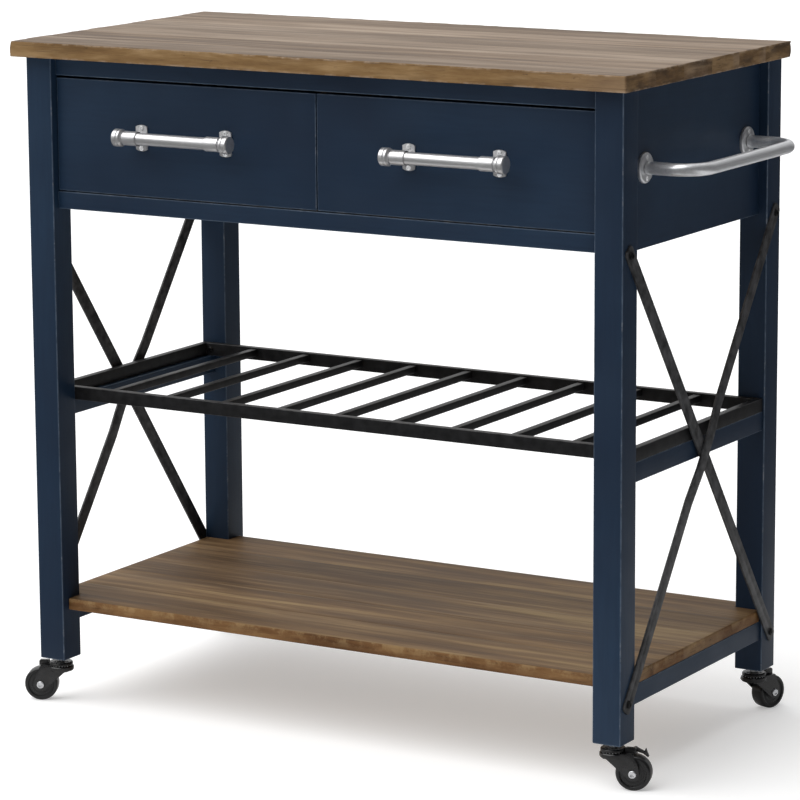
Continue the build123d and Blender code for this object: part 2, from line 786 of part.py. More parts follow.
def fork(braked):
    """Crown with its rolled skirt, two arms, and the tab over the wheel that carries the brake."""
    r = CROWN_R
    crown = spin(
        [
            (KINGPIN_R + FIT, CROWN_TOP - CROWN_T),
            (r - 5.0, CROWN_TOP - CROWN_T),
            (r - 2.6, CROWN_LOW + 1.0),
            (r - 2.0, CROWN_LOW),
            (r - 0.8, CROWN_LOW),
            (r, CROWN_LOW + 1.4),
            (r, CROWN_TOP - 1.4),
            (r - 1.0, CROWN_TOP - 0.3),
            (r - 2.4, CROWN_TOP),
            (KINGPIN_R + FIT, CROWN_TOP),
        ]
    )
    bridge = block((6.0, 27.5), (-ARM_OUT, ARM_OUT), (CROWN_TOP - CROWN_T, CROWN_TOP))
    tab = block((RACE_CAP_R - 2.5, 30.4), (-5.0, 1.0), (CROWN_TOP - 1.0, TAB_TOP))
    tab = tab - rod((0, 0, CROWN_TOP), (0, 0, 1), RACE_CAP_R + 0.6, 20)
    tab = chamfer(tab.edges().filter_by(Axis.Y).group_by(Axis.Z)[-1].sort_by(Axis.X)[-1], 1.8)
    body = crown + bridge + tab
    body = body - rod((TRAIL, -ARM_IN, WHEEL_R), (0, 1, 0), WHEEL_R + 1.2, 2 * ARM_IN)
    body = body + arm(1) + arm(-1)
    if braked:
        body = body + rod((PIVOT_X, 0.5, PIVOT_Z), (0, 1, 0), PIVOT_R, 8.0)
    return body - rod((TRAIL, -20, WHEEL_R), (0, 1, 0), AXLE_R, 40)


def axle():
    """A rivet through both arms, with a dimpled head each side."""
    pin = rod((TRAIL, -ARM_OUT, WHEEL_R), (0, 1, 0), AXLE_R, 2 * ARM_OUT)
    for sy in (-1, 1):
        head = rod((TRAIL, sy * ARM_OUT, WHEEL_R), (0, sy, 0), 4.9, 1.8)
        head = chamfer(head.edges().sort_by(Axis.Y)[-1 if sy > 0 else 0], 0.7)
        dimple = rod((TRAIL, sy * (ARM_OUT + 1.2), WHEEL_R), (0, sy, 0), 2.2, 1.0)
        pin += head - dimple
    return pin


def wheel():
    """A one-piece tread and hub, its faces stepped between rim and boss."""
    half = [
        (AXLE_R + FIT, WHEEL_HALF + 0.8),
        (6.6, WHEEL_HALF + 0.8),
        (7.2, WHEEL_HALF - 1.2),
        (14.5, WHEEL_HALF - 1.8),
        (15.2, WHEEL_HALF - 1.0),
        (18.4, WHEEL_HALF - 1.0),
        (19.0, WHEEL_HALF),
        (WHEEL_R - 2.0, WHEEL_HALF),
        (WHEEL_R - 0.6, WHEEL_HALF - 1.2),
        (WHEEL_R, WHEEL_HALF - 3.4),
    ]
    outline = half + [(r, -z) for r, z in reversed(half)]
    return Plane(origin=(TRAIL, 0, WHEEL_R), x_dir=(1, 0, 0), z_dir=(0, -1, 0)) * spin(outline)


def brake_lever():
    """A bent pedal beside the tab. It turns on the fork's pin and presses on the tread."""
    outline = [
        (PIVOT_X, PIVOT_Z + 2.8),
        (PIVOT_X - 2.0, PIVOT_Z - 1.0),
        (PIVOT_X + 1.0, PIVOT_Z - 2.6),
        (38.2, 47.2),
        (44.6, 42.4),
        (45.6, 43.6),
        (43.0, 49.0),
        (41.4, 54.2),
        (39.4, 49.6),
        (PIVOT_X + 2.8, PIVOT_Z + 1.6),
    ]
    side = make_face(Polyline(*[(x, 0, z) for x, z in outline], close=True))
    eye = rod((PIVOT_X, 0, PIVOT_Z), (0, 1, 0), 3.0, 6.0)
    body = extrude(side, amount=6.0, dir=(0, 1, 0)) + eye
    bore = rod((PIVOT_X, -5, PIVOT_Z), (0, 1, 0), PIVOT_R + FIT, 20)
    return Pos(0, 1.4, 0) * (body - bore)


sleeves = []
stems = []
caps = []
for place, (sx, sy) in LEGS.items():
    foot = Pos(sx * STEM_X, sy * STEM_Y, 0)
    swivel = foot * Rot(0, 0, TRAIL_ANGLE[place])
    sleeves.append(foot * socket_sleeve())
    stems.append(foot * stem())
    caps.append(foot * race_cap())
    save(f"caster_fork_{place}", swivel * fork(place in BRAKED))
    save(f"caster_axle_{place}", swivel * axle())
    save(f"caster_wheel_{place}", swivel * wheel())
    if place in BRAKED:
        save(f"brake_lever_{place}", swivel * brake_lever())
save("caster_sockets", group(sleeves))
save("caster_stems", group(stems))
save("caster_bearing_caps", group(caps))
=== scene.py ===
import json
import math
import random

import bmesh
import bpy
from mathutils import Matrix, Vector, noise


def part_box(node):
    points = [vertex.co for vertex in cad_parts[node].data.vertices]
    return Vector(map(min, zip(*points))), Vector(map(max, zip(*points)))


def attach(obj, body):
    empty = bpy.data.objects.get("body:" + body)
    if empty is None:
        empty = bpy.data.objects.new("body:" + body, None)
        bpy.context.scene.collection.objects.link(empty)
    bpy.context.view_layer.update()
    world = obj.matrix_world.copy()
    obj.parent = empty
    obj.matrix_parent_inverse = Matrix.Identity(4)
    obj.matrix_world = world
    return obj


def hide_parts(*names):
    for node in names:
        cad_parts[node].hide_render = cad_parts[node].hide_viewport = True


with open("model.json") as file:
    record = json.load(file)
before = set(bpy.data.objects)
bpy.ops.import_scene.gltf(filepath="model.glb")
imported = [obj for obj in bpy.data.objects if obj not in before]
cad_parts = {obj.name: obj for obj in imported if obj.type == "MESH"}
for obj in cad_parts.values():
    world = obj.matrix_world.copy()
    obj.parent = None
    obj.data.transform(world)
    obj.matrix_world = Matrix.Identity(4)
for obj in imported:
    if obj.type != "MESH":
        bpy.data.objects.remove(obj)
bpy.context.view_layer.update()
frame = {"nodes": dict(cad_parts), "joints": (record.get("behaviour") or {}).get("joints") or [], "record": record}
MM = 0.001
UP = Vector((0, 0, 1))

# ------------------------------------------------------------------ places read from the frame


def joint(name):
    return next(j for j in frame["joints"] if j["name"] == name)


def centre(node):
    lo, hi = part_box(node)
    return (lo + hi) / 2


PLACES = ("front_left", "front_right", "back_left", "back_right")
BRAKED = [p for p in PLACES if f"brake_lever_{p}" in frame["nodes"]]
top_lo, top_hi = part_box("worktop")
cart_x = (top_lo.x + top_hi.x) / 2
cart_y = (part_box("leg_front_left")[0].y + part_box("leg_back_left")[1].y) / 2

# ------------------------------------------------------------------ material building blocks


class Shader:
    """A material's node tree, with short calls for the nodes used here."""

    def __init__(self, name):
        self.material = bpy.data.materials.new(name)
        self.material.use_nodes = True
        self.tree = self.material.node_tree
        self.surface = self.tree.nodes["Principled BSDF"]

    def node(self, kind, **settings):
        made = self.tree.nodes.new(kind)
        for key, value in settings.items():
            setattr(made, key, value)
        return made

    def feed(self, socket, value):
        if isinstance(value, bpy.types.NodeSocket):
            self.tree.links.new(value, socket)
        else:
            socket.default_value = value

    def place(self, scale=(1, 1, 1), turn=(0, 0, 0)):
        """The piece's own coordinates, stretched. They move with it, so a moved body keeps its pattern."""
        where = self.node("ShaderNodeTexCoord").outputs["Object"]
        mapping = self.node("ShaderNodeMapping")
        self.feed(mapping.inputs["Vector"], where)
        mapping.inputs["Scale"].default_value = scale
        mapping.inputs["Rotation"].default_value = turn
        return mapping.outputs["Vector"]

    def noise(self, scale, where, detail=4.0, rough=0.55, distortion=0.0):
        made = self.node("ShaderNodeTexNoise")
        self.feed(made.inputs["Vector"], where)
        made.inputs["Scale"].default_value = scale
        made.inputs["Detail"].default_value = detail
        made.inputs["Roughness"].default_value = rough
        made.inputs["Distortion"].default_value = distortion
        return made.outputs["Fac"]

    def ramp(self, value, stops, smooth=False):
        made = self.node("ShaderNodeValToRGB")
        self.feed(made.inputs["Fac"], value)
        if smooth:
            made.color_ramp.interpolation = "EASE"
        elements = made.color_ramp.elements
        while len(elements) < len(stops):
            elements.new(0.5)
        for element, (position, colour) in zip(elements, stops):
            element.position = position
            if not isinstance(colour, tuple):
                colour = (colour, colour, colour)
            element.color = (*colour, 1)
        return made.outputs["Color"]

    def math(self, operation, a, b=0.0, clamp=False):
        made = self.node("ShaderNodeMath", operation=operation, use_clamp=clamp)
        self.feed(made.inputs[0], a)
        self.feed(made.inputs[1], b)
        return made.outputs[0]

    def mix(self, share, a, b, blend="MIX"):
        made = self.node("ShaderNodeMix", data_type="RGBA", blend_type=blend)
        self.feed(made.inputs["Factor"], share)
        for socket, value in ((made.inputs[6], a), (made.inputs[7], b)):
            self.feed(socket, (*value, 1) if isinstance(value, tuple) else value)
        return made.outputs[2]

    def attribute(self, name):
        made = self.node("ShaderNodeAttribute", attribute_name=name)
        return made.outputs["Fac"]

    def bump(self, height, strength, distance, below=None):
        made = self.node("ShaderNodeBump")
        self.feed(made.inputs["Height"], height)
        made.inputs["Strength"].default_value = strength
        made.inputs["Distance"].default_value = distance
        if below is not None:
            self.feed(made.inputs["Normal"], below)
        return made.outputs["Normal"]

    def finish(self, colour=None, rough=None, normal=None, **constants):
        if colour is not None:
            value = (*colour, 1) if isinstance(colour, tuple) else colour
            self.feed(self.surface.inputs["Base Color"], value)
        if rough is not None:
            self.feed(self.surface.inputs["Roughness"], rough)
        if normal is not None:
            self.feed(self.surface.inputs["Normal"], normal)
        for key, value in constants.items():
            self.surface.inputs[key.replace("_", " ")].default_value = value
        return self.material


def paint_material(name, grain_axis):
    """Satin navy paint on timber: a trace of the grain below, a painted highlight of paler blue along the arrises,
    where the paint is also thinner, and grey spots of worn paint on them.
    """
    s = Shader(name)
    along = [9.0, 9.0, 9.0]
    along[grain_axis] = 0.7
    where = s.place()
    grain = s.noise(22.0, s.place(tuple(along)), detail=6.0, rough=0.6)
    cloud = s.noise(3.2, where, detail=3.0)
    fine = s.noise(420.0, where, detail=2.0)
    base = s.ramp(cloud, [(0.35, (0.0085, 0.0195, 0.0410)), (0.65, (0.0128, 0.0300, 0.0600))])
    base = s.mix(s.ramp(grain, [(0.42, 0.0), (0.62, 0.24)]), base, (0.0080, 0.0175, 0.0370))
    # Painted highlight: the arrises are mixed towards a paler blue, broken up by the chips noise.
    chips = s.noise(60.0, where, detail=5.0, rough=0.7)
    arris_highlight_and_wear = s.math("MULTIPLY", s.attribute("arris"), s.ramp(chips, [(0.34, 0.30), (0.62, 1.0)]))
    base = s.mix(s.math("MULTIPLY", arris_highlight_and_wear, 0.85), base, (0.150, 0.200, 0.265))
    wear = s.ramp(s.noise(34.0, where, 6.0, 0.75), [(0.56, 0.0), (0.62, 1.0)])
    worn = s.math("MULTIPLY", s.attribute("arris"), wear)
    base = s.mix(s.math("MULTIPLY", worn, 0.5), base, (0.30, 0.30, 0.30))
    rough = s.ramp(s.noise(14.0, where), [(0.3, 0.36), (0.7, 0.46)])
    height = s.bump(fine, 0.10, 0.0004)
    height = s.bump(grain, 0.22, 0.0006, height)
    return s.finish(base, rough, height, Specular_IOR_Level=0.22)


def timber_material(name, tones, edge_tones, edge_dark, streak_scale, rough_range, gloss):
    """Stained planks: wide soft bands and fine grain along X, warmer edges, and a painted highlight of the palest
    tone on the arrises, where the wood is also rubbed.
    """
    s = Shader(name)
    where = s.place()
    plank = s.attribute("plank")
    shifted = s.node("ShaderNodeVectorMath", operation="ADD")
    s.feed(shifted.inputs[0], where)
    offset = s.node("ShaderNodeCombineXYZ")
    s.feed(offset.inputs["X"], s.math("MULTIPLY", plank, 7.3))
    s.feed(offset.inputs["Z"], s.math("MULTIPLY", plank, 3.1))
    s.feed(shifted.inputs[1], offset.outputs[0])

    def stretched(x, y, z):
        mapping = s.node("ShaderNodeMapping")
        s.feed(mapping.inputs["Vector"], shifted.outputs[0])
        mapping.inputs["Scale"].default_value = (x, y, z)
        return mapping.outputs["Vector"]

    band = s.noise(1.0, stretched(0.9, streak_scale, 3.0), detail=3.0, rough=0.5, distortion=0.3)
    streak = s.noise(1.0, stretched(3.2, streak_scale * 5.0, 20.0), detail=5.0, rough=0.62)
    grain = s.noise(1.0, stretched(9.0, 420.0, 300.0), detail=5.0, rough=0.6)
    pores = s.noise(1.0, stretched(60.0, 1500.0, 900.0), detail=2.0)
    tone = s.math("ADD", s.math("MULTIPLY", band, 0.52), s.math("MULTIPLY", streak, 0.48))
    colour = s.ramp(tone, [(0.39, tones[0]), (0.46, tones[1]), (0.53, tones[2]), (0.61, tones[3])])
    colour = s.mix(s.ramp(grain, [(0.35, 0.30), (0.60, 0.0)]), colour, tones[0])
    colour = s.mix(s.ramp(pores, [(0.30, 0.22), (0.42, 0.0)]), colour, edge_dark)
    fine = s.noise(1.0, stretched(4.5, 105.0, 120.0), detail=4.0, rough=0.6)
    colour = s.mix(s.ramp(fine, [(0.34, 0.48), (0.49, 0.0)]), colour, tones[0])
    colour = s.mix(s.ramp(fine, [(0.53, 0.0), (0.68, 0.34)]), colour, tones[3])
    plank_tint = s.ramp(plank, [(0.0, 0.86), (0.5, 1.0), (1.0, 1.10)])
    colour = s.mix(1.0, colour, plank_tint, "MULTIPLY")

    rim = s.attribute("rim")
    edge_tone = s.noise(1.0, stretched(7.0, 11.0, 60.0), detail=6.0, rough=0.68)
    edge = s.ramp(edge_tone, [(0.34, edge_tones[0]), (0.50, edge_tones[1]), (0.66, edge_tones[2])])
    edge = s.mix(s.ramp(band, [(0.50, 0.0), (0.58, 0.45)]), edge, tones[2])
    cracks = s.noise(1.0, stretched(12.0, 40.0, 620.0), detail=3.0, rough=0.6)
    edge = s.mix(s.ramp(cracks, [(0.32, 0.70), (0.38, 0.0)]), edge, edge_dark)
    pits = s.noise(1.0, stretched(60.0, 60.0, 160.0), detail=6.0, rough=0.75)
    edge = s.mix(s.ramp(pits, [(0.30, 0.65), (0.39, 0.0)]), edge, edge_dark)
    end_shade = s.math("MULTIPLY", s.attribute("end"), s.ramp(edge_tone, [(0.40, 0.85), (0.60, 0.20)]))
    edge = s.mix(end_shade, edge, s.mix(0.5, edge_tones[0], edge_dark))
    colour = s.mix(rim, colour, edge)
    hollow = s.math("MULTIPLY", s.attribute("gouge"), s.ramp(pits, [(0.30, 1.0), (0.60, 0.55)]))
    colour = s.mix(hollow, colour, edge_dark)
    # Painted highlight on the arrises in the palest tone, broken up by the chips noise. It also stands for rubbed,
    # paler wood there.
    chips = s.noise(45.0, where, detail=5.0, rough=0.7)
    arris_highlight_and_wear = s.math("MULTIPLY", s.attribute("arris"), s.ramp(chips, [(0.47, 0.0), (0.60, 0.55)]))
    colour = s.mix(arris_highlight_and_wear, colour, tones[3])
    rough = s.ramp(streak, [(0.3, rough_range[0]), (0.7, rough_range[1])])
    normal = s.bump(pits, 0.12, 0.0008)
    normal = s.bump(grain, 0.30, 0.0007, normal)
    return s.finish(colour, rough, normal, Specular_IOR_Level=gloss)


def raw_timber_material():
    """Pale unfinished timber for the parts inside. Grain along X and along Y are blended."""
    s = Shader("raw_timber")
    grain = s.noise(1.0, s.place((3.0, 60.0, 60.0)), detail=6.0, rough=0.6)
    cross = s.noise(1.0, s.place((60.0, 3.0, 60.0)), detail=6.0, rough=0.6)
    mixed = s.mix(0.5, grain, cross)
    dark, middle, pale = (0.42, 0.28, 0.15), (0.58, 0.42, 0.25), (0.66, 0.50, 0.32)
    colour = s.ramp(mixed, [(0.3, dark), (0.6, middle), (0.8, pale)])
    return s.finish(colour, 0.62, s.bump(grain, 0.25, 0.0005))


def powder_coat_material(name, colour, edge, rough, gloss):
    """Matt black powder coat: a fine texture, and a painted highlight in paler grey along its edges."""
    s = Shader(name)
    where = s.place()
    pebble = s.noise(1500.0, where, detail=3.0)
    cloud = s.noise(9.0, where, detail=4.0)
    base = s.mix(s.ramp(cloud, [(0.3, 0.0), (0.7, 0.5)]), colour, tuple(c * 1.5 for c in colour))
    # The edge colour is a painted highlight on the arrises, broken up by this wear noise.
    wear = s.ramp(s.noise(80.0, where, 5.0), [(0.35, 0.2), (0.65, 1.0)])
    arris_highlight_and_wear = s.math("MULTIPLY", s.attribute("arris"), wear)
    base = s.mix(s.math("MULTIPLY", arris_highlight_and_wear, 0.8), base, edge)
    roughness = s.ramp(cloud, [(0.3, rough), (0.7, rough + 0.1)])
    return s.finish(base, roughness, s.bump(pebble, 0.18, 0.0003), Specular_IOR_Level=gloss)


def satin_metal_material(name, colour, rough, stretch, axis_scale=900.0, metallic=0.8):
    """Brushed or satin steel: fine lines that run along the stretch axis, and faint smudges."""
    s = Shader(name)
    where = s.place()
    scale = [axis_scale, axis_scale, axis_scale]
    scale[stretch] = 14.0
    lines = s.noise(1.0, s.place(tuple(scale)), detail=4.0, rough=0.7)
    broad = [axis_scale * 0.25] * 3
    broad[stretch] = 5.0
    streaks = s.noise(1.0, s.place(tuple(broad)), detail=4.0, rough=0.65)
    smudge = s.noise(38.0, where, detail=4.0)
    base = s.mix(s.ramp(smudge, [(0.35, 0.0), (0.7, 0.5)]), colour, tuple(c * 0.86 for c in colour))
    base = s.mix(s.ramp(streaks, [(0.40, 0.30), (0.58, 0.0)]), base, tuple(c * 0.68 for c in colour))
    base = s.mix(s.ramp(lines, [(0.35, 0.25), (0.55, 0.0)]), base, tuple(c * 0.6 for c in colour))
    rough_map = s.ramp(streaks, [(0.35, rough + 0.08), (0.65, rough)])
    return s.finish(base, rough_map, s.bump(lines, 0.12, 0.0002), Metallic=metallic)


def moulded_material(name, colour, rough):
    """Hard moulded plastic, slightly mottled."""
    s = Shader(name)
    where = s.place()
    mottle = s.noise(60.0, where, detail=5.0, rough=0.6)
    base = s.mix(s.ramp(mottle, [(0.35, 0.0), (0.7, 1.0)]), colour, tuple(c * 1.35 for c in colour))
    fine = s.noise(900.0, where, detail=2.0)
    return s.finish(base, s.ramp(mottle, [(0.3, rough), (0.7, rough + 0.12)]), s.bump(fine, 0.08, 0.0003))


X_AXIS, Y_AXIS, Z_AXIS = 0, 1, 2
PAINT = [paint_material(f"navy_paint_{axis}", i) for i, axis in enumerate("xyz")]
TOP_WOOD = timber_material(
    "plank_top",
    [(0.112, 0.072, 0.043), (0.198, 0.138, 0.090), (0.276, 0.204, 0.144), (0.385, 0.300, 0.225)],
    [(0.128, 0.067, 0.021), (0.188, 0.106, 0.038), (0.268, 0.168, 0.074)],
    (0.036, 0.021, 0.012),
    9.0,
    (0.52, 0.64),
    0.25,
)
SHELF_WOOD = timber_material(
    "plank_shelf",
    [(0.094, 0.052, 0.022), (0.162, 0.096, 0.046), (0.240, 0.151, 0.074), (0.370, 0.258, 0.128)],
    [(0.078, 0.034, 0.011), (0.128, 0.060, 0.021), (0.200, 0.107, 0.041)],
    (0.030, 0.016, 0.008),
    8.0,
    (0.50, 0.62),
    0.14,
)
RAW_WOOD = raw_timber_material()
# The third colour of each powder coat is the painted highlight along its edges.
BLACK = powder_coat_material("black_steel", (0.0038, 0.0038, 0.0042), (0.130, 0.130, 0.136), 0.36, 0.22)
CASTER_BLACK = powder_coat_material(
    "caster_metal", (0.0040, 0.0040, 0.0042), (0.035, 0.035, 0.036), 0.18, 0.5
)
SATIN = satin_metal_material("satin_steel", (0.76, 0.76, 0.77), 0.33, X_AXIS, metallic=0.82)
SATIN_Y = satin_metal_material("satin_steel_y", (0.88, 0.89, 0.91), 0.31, Y_AXIS, metallic=0.78)
ROSE_STEEL = satin_metal_material("satin_steel_rose", (0.76, 0.77, 0.79), 0.34, Z_AXIS, 500.0)
ZINC = satin_metal_material("zinc_steel", (0.84, 0.85, 0.87), 0.22, Z_AXIS, 300.0)
ZINC_Y = satin_metal_material("zinc_steel_y", (0.80, 0.81, 0.83), 0.26, Y_AXIS, 300.0)
# A lit copy of the zinc: whiter and hardly metallic, so that the screws and the stem nuts read bright even in
# shade. This is painted light.
LIT_ZINC = satin_metal_material(
    "zinc_steel_lit", (0.94, 0.95, 0.96), 0.28, Z_AXIS, 300.0, metallic=0.15
)
TREAD = moulded_material("caster_tread", (0.0085, 0.0085, 0.0088), 0.24)

SLOT_MATERIAL = {
    "plank_top": TOP_WOOD,
    "plank_shelf": SHELF_WOOD,
    "navy_paint": PAINT[Z_AXIS],
    "raw_timber": RAW_WOOD,
    "black_steel": BLACK,
    "satin_steel": SATIN,
    "zinc_steel": ZINC,
    "caster_metal": CASTER_BLACK,
    "caster_tread": TREAD,
}
NODE_SLOT = {s["node"]: s["material_slot"] for s in frame["record"]["subparts"]}
NODE_BODY = {n: b for b, nodes in frame["record"]["behaviour"]["bodies"].items() for n in nodes}

# ------------------------------------------------------------------ mesh building blocks


def keep(name, bm, body, material, nodes=(), smooth_angle=35.0, matrix=None):
    """Turns a bmesh into a piece that rides on a body and stands for some CAD nodes."""
    if matrix is not None:
        bm.transform(matrix)
    bmesh.ops.recalc_face_normals(bm, faces=bm.faces)
    if bm.calc_volume(signed=True) < 0:
        bmesh.ops.reverse_faces(bm, faces=bm.faces)
    limit = math.radians(smooth_angle)
    for face in bm.faces:
        face.smooth = True
    for edge in bm.edges:
        edge.smooth = len(edge.link_faces) == 2 and edge.calc_face_angle(0.0) < limit
    mesh = bpy.data.meshes.new(name)
    bm.to_mesh(mesh)
    bm.free()
    piece = bpy.data.objects.new(name, mesh)
    bpy.context.scene.collection.objects.link(piece)
    piece.data.materials.append(material)
    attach(piece, body)
    if nodes:
        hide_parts(*nodes)


def slice_along(bm, axis, positions):
    """Cuts a mesh by planes across an axis, so that long faces have vertices to work with."""
    normal = Vector((0, 0, 0))
    normal[axis] = 1
    for position in positions:
        point = normal * position
        geometry = bm.verts[:] + bm.edges[:] + bm.faces[:]
        bmesh.ops.bisect_plane(bm, geom=geometry, plane_co=point, plane_no=normal, dist=1e-7)


def spaced(lo, hi, step):
    count = max(1, round((hi - lo) / step))
    return [lo + (hi - lo) * i / count for i in range(1, count)]


def block_mesh(lo, hi, bevel, segments=3):
    """A box with rounded arrises."""
    bm = bmesh.new()
    bmesh.ops.create_cube(bm, size=1.0)
    size = hi - lo
    for v in bm.verts:
        v.co = lo + Vector(((v.co.x + 0.5) * size.x, (v.co.y + 0.5) * size.y, (v.co.z + 0.5) * size.z))
    bmesh.ops.bevel(bm, geom=bm.edges[:], offset=bevel, segments=segments, profile=0.6, affect="EDGES")
    return bm


def mark_arrises(bm, lo, hi, width):
    """Writes how near each vertex is to the box's arrises: 1 on an arris, 0 on a flat."""
    layer = bm.verts.layers.float.new("arris")
    for v in bm.verts:
        depth = sorted(min(v.co[i] - lo[i], hi[i] - v.co[i]) for i in range(3))
        v[layer] = max(0.0, min(1.0, 1.0 - depth[1] / width))


def board(name, lo, hi, grain, body, nodes, bevel=1.3 * MM, step=25 * MM, seed=0.0):
    """A painted board with eased, slightly uneven arrises."""
    bm = block_mesh(lo, hi, bevel)
    slice_along(bm, grain, spaced(lo[grain], hi[grain], step))
    mark_arrises(bm, lo, hi, bevel * 0.9)
    middle = (lo + hi) / 2
    for v in bm.verts:
        wander = noise.noise(v.co * 38.0 + Vector((seed, seed, seed))) * 0.12 * MM
        inward = (middle - v.co).normalized()
        v.co += inward * abs(wander)
    keep(name, bm, body, PAINT[grain], nodes)


def node_parts(node):
    """The separate solids of a CAD node, as (lowest, highest) corners."""
    source = bmesh.new()
    source.from_mesh(frame["nodes"][node].data)
    bmesh.ops.remove_doubles(source, verts=source.verts, dist=1e-6)
    seen, found = set(), []
    for start in source.verts:
        if start.index in seen:
            continue
        stack, members = [start], []
        seen.add(start.index)
        while stack:
            v = stack.pop()
            members.append(v.co.copy())
            for edge in v.link_edges:
                other = edge.other_vert(v)
                if other.index not in seen:
                    seen.add(other.index)
                    stack.append(other)
        lo = Vector([min(c[i] for c in members) for i in range(3)])
        hi = Vector([max(c[i] for c in members) for i in range(3)])
        found.append((lo, hi))
    source.free()
    return found


SHARP_EDGE = math.radians(28.0)


def refined(node, name, bevel, material=None):
    """A copy of a CAD node's solids with rounded edges, in place of the sharp ones."""
    bm = bmesh.new()
    bm.from_mesh(frame["nodes"][node].data)
    bmesh.ops.remove_doubles(bm, verts=bm.verts, dist=2e-6)
    bmesh.ops.dissolve_limit(bm, angle_limit=math.radians(1.0), verts=bm.verts, edges=bm.edges)
    sharp = [e for e in bm.edges if len(e.link_faces) == 2 and e.calc_face_angle(0.0) > SHARP_EDGE]
    bmesh.ops.bevel(
        bm, geom=sharp, offset=bevel, segments=2, profile=0.6, affect="EDGES", clamp_overlap=True
    )
    layer = bm.verts.layers.float.new("arris")
    for v in bm.verts:
        turn = max((e.calc_face_angle(0.0) for e in v.link_edges if len(e.link_faces) == 2), default=0.0)
        v[layer] = min(1.0, turn / 0.5)
    slot = NODE_SLOT[node]
    keep(name, bm, NODE_BODY[node], material or SLOT_MATERIAL[slot], [node])


def circle(bm, sides, at):
    """A ring of vertices, placed by a function of the turn in radians."""
    return [bm.verts.new(at(2 * math.pi * i / sides)) for i in range(sides)]


def bridge(bm, rings):
    """Joins each ring of vertices to the next with four-sided faces."""
    sides = len(rings[0])
    for near, far in zip(rings, rings[1:]):
        for i in range(sides):
            j = (i + 1) % sides
            bm.faces.new((near[i], near[j], far[j], far[i]))


def cap_ends(bm, rings):
    bm.faces.new(rings[0])
    bm.faces.new(list(reversed(rings[-1])))


def lathe_mesh(outline, segments):
    """A solid turned about Z. Its (radius, height) points start and end on the axis, or form a loop."""
    bm = bmesh.new()
    rings = []
    for radius, height in outline:
        if radius < 1e-9:
            rings.append([bm.verts.new((0, 0, height))])
            continue
        rings.append(
            circle(bm, segments, lambda turn: (radius * math.cos(turn), radius * math.sin(turn), height))
        )
    for below, above in zip(rings, rings[1:]):
        for i in range(segments):
            j = (i + 1) % segments
            a = below[i % len(below)], below[j % len(below)]
            b = above[i % len(above)], above[j % len(above)]
            corners = []
            for v in (a[0], a[1], b[1], b[0]):
                if v not in corners:
                    corners.append(v)
            if len(corners) > 2:
                bm.faces.new(corners)
    if outline[0] == outline[-1]:
        bmesh.ops.remove_doubles(bm, verts=bm.verts, dist=1e-9)
    return bm


def eased(points, radius, steps=3):
    """Rounds the corners of an open outline by up to a radius."""
    out = [points[0]]
    for before, here, after in zip(points, points[1:], points[2:]):
        a, b, c = Vector(before), Vector(here), Vector(after)
        reach = min(radius, (a - b).length * 0.45, (c - b).length * 0.45)
        start = b + (a - b).normalized() * reach
        end = b + (c - b).normalized() * reach
        for i in range(steps + 1):
            t = i / steps
            p = start * (1 - t) ** 2 + b * 2 * t * (1 - t) + end * t * t
            out.append((p.x, p.y))
    out.append(points[-1])
    return out


def upright(direction, origin):
    """A matrix that takes local Z to a direction, at an origin."""
    turn = Vector(direction).to_track_quat("Z", "Y").to_matrix().to_4x4()
    return Matrix.Translation(origin) @ turn


def cross_screw_mesh(head_radius, head_height):
    """The head of a pan head screw: a dome with a cross recess and a flat base."""
    bm = bmesh.new()
    segments = 40
    dome = [(1.0, 0.0), (1.0, 0.42), (0.93, 0.72), (0.80, 0.90), (0.66, 0.98)]
    rings = []
    for share, height in dome:
        r, z = head_radius * share, head_height * height
        rings.append(circle(bm, segments, lambda turn: (r * math.cos(turn), r * math.sin(turn), z)))
    bridge(bm, rings)
    bm.faces.new(list(reversed(rings[0])))
    arm, half = head_radius * 0.50, head_radius * 0.13
    corners = [(arm, half), (half, half), (half, arm), (-half, arm), (-half, half), (-arm, half)]
    corners += [(-x, -y) for x, y in corners]
    rim = [bm.verts.new((x, y, head_height)) for x, y in corners]
    edges = [bm.edges.new((rim[i], rim[(i + 1) % len(rim)])) for i in range(len(rim))]
    outer = [bm.edges.get((rings[-1][i], rings[-1][(i + 1) % segments])) for i in range(segments)]
    bmesh.ops.triangle_fill(bm, edges=edges + outer, use_beauty=True)
    depth = head_height * 0.62
    floor = [bm.verts.new((v.co.x * 0.62, v.co.y * 0.62, head_height - depth)) for v in rim]
    for i in range(len(rim)):
        j = (i + 1) % len(rim)
        bm.faces.new((rim[j], rim[i], floor[i], floor[j]))
    bm.faces.new(floor)
    return bm


# ------------------------------------------------------------------ worktop and shelf


def fractal(point):
    """Noise in four octaves, around 0."""
    return noise.fractal(point, 1.0, 2.0, 4)


def plank_joints(lo, hi, planks):
    return [lo.y + (hi.y - lo.y) * i / planks for i in range(1, planks)]


def joint_rows(joints):
    """Where a slab is cut beside each joint, so that the joint can be sunk."""
    rows = []
    for y in joints:
        rows += [y - 0.9 * MM, y - 0.25 * MM, y + 0.25 * MM, y + 0.9 * MM]
    return rows


def plank_value(y, lo, hi, planks, start):
    """A number from 0 to 1 that differs from plank to plank, spread by the golden ratio."""
    index = min(planks - 1, max(0, int((y - lo.y) / (hi.y - lo.y) * planks)))
    return (index * 0.618 + start) % 1.0


def from_sides(value, lo, hi, reach):
    """1 within reach of the low side, -1 within reach of the high side, otherwise 0."""
    return (value < lo + reach) - (value > hi - reach)


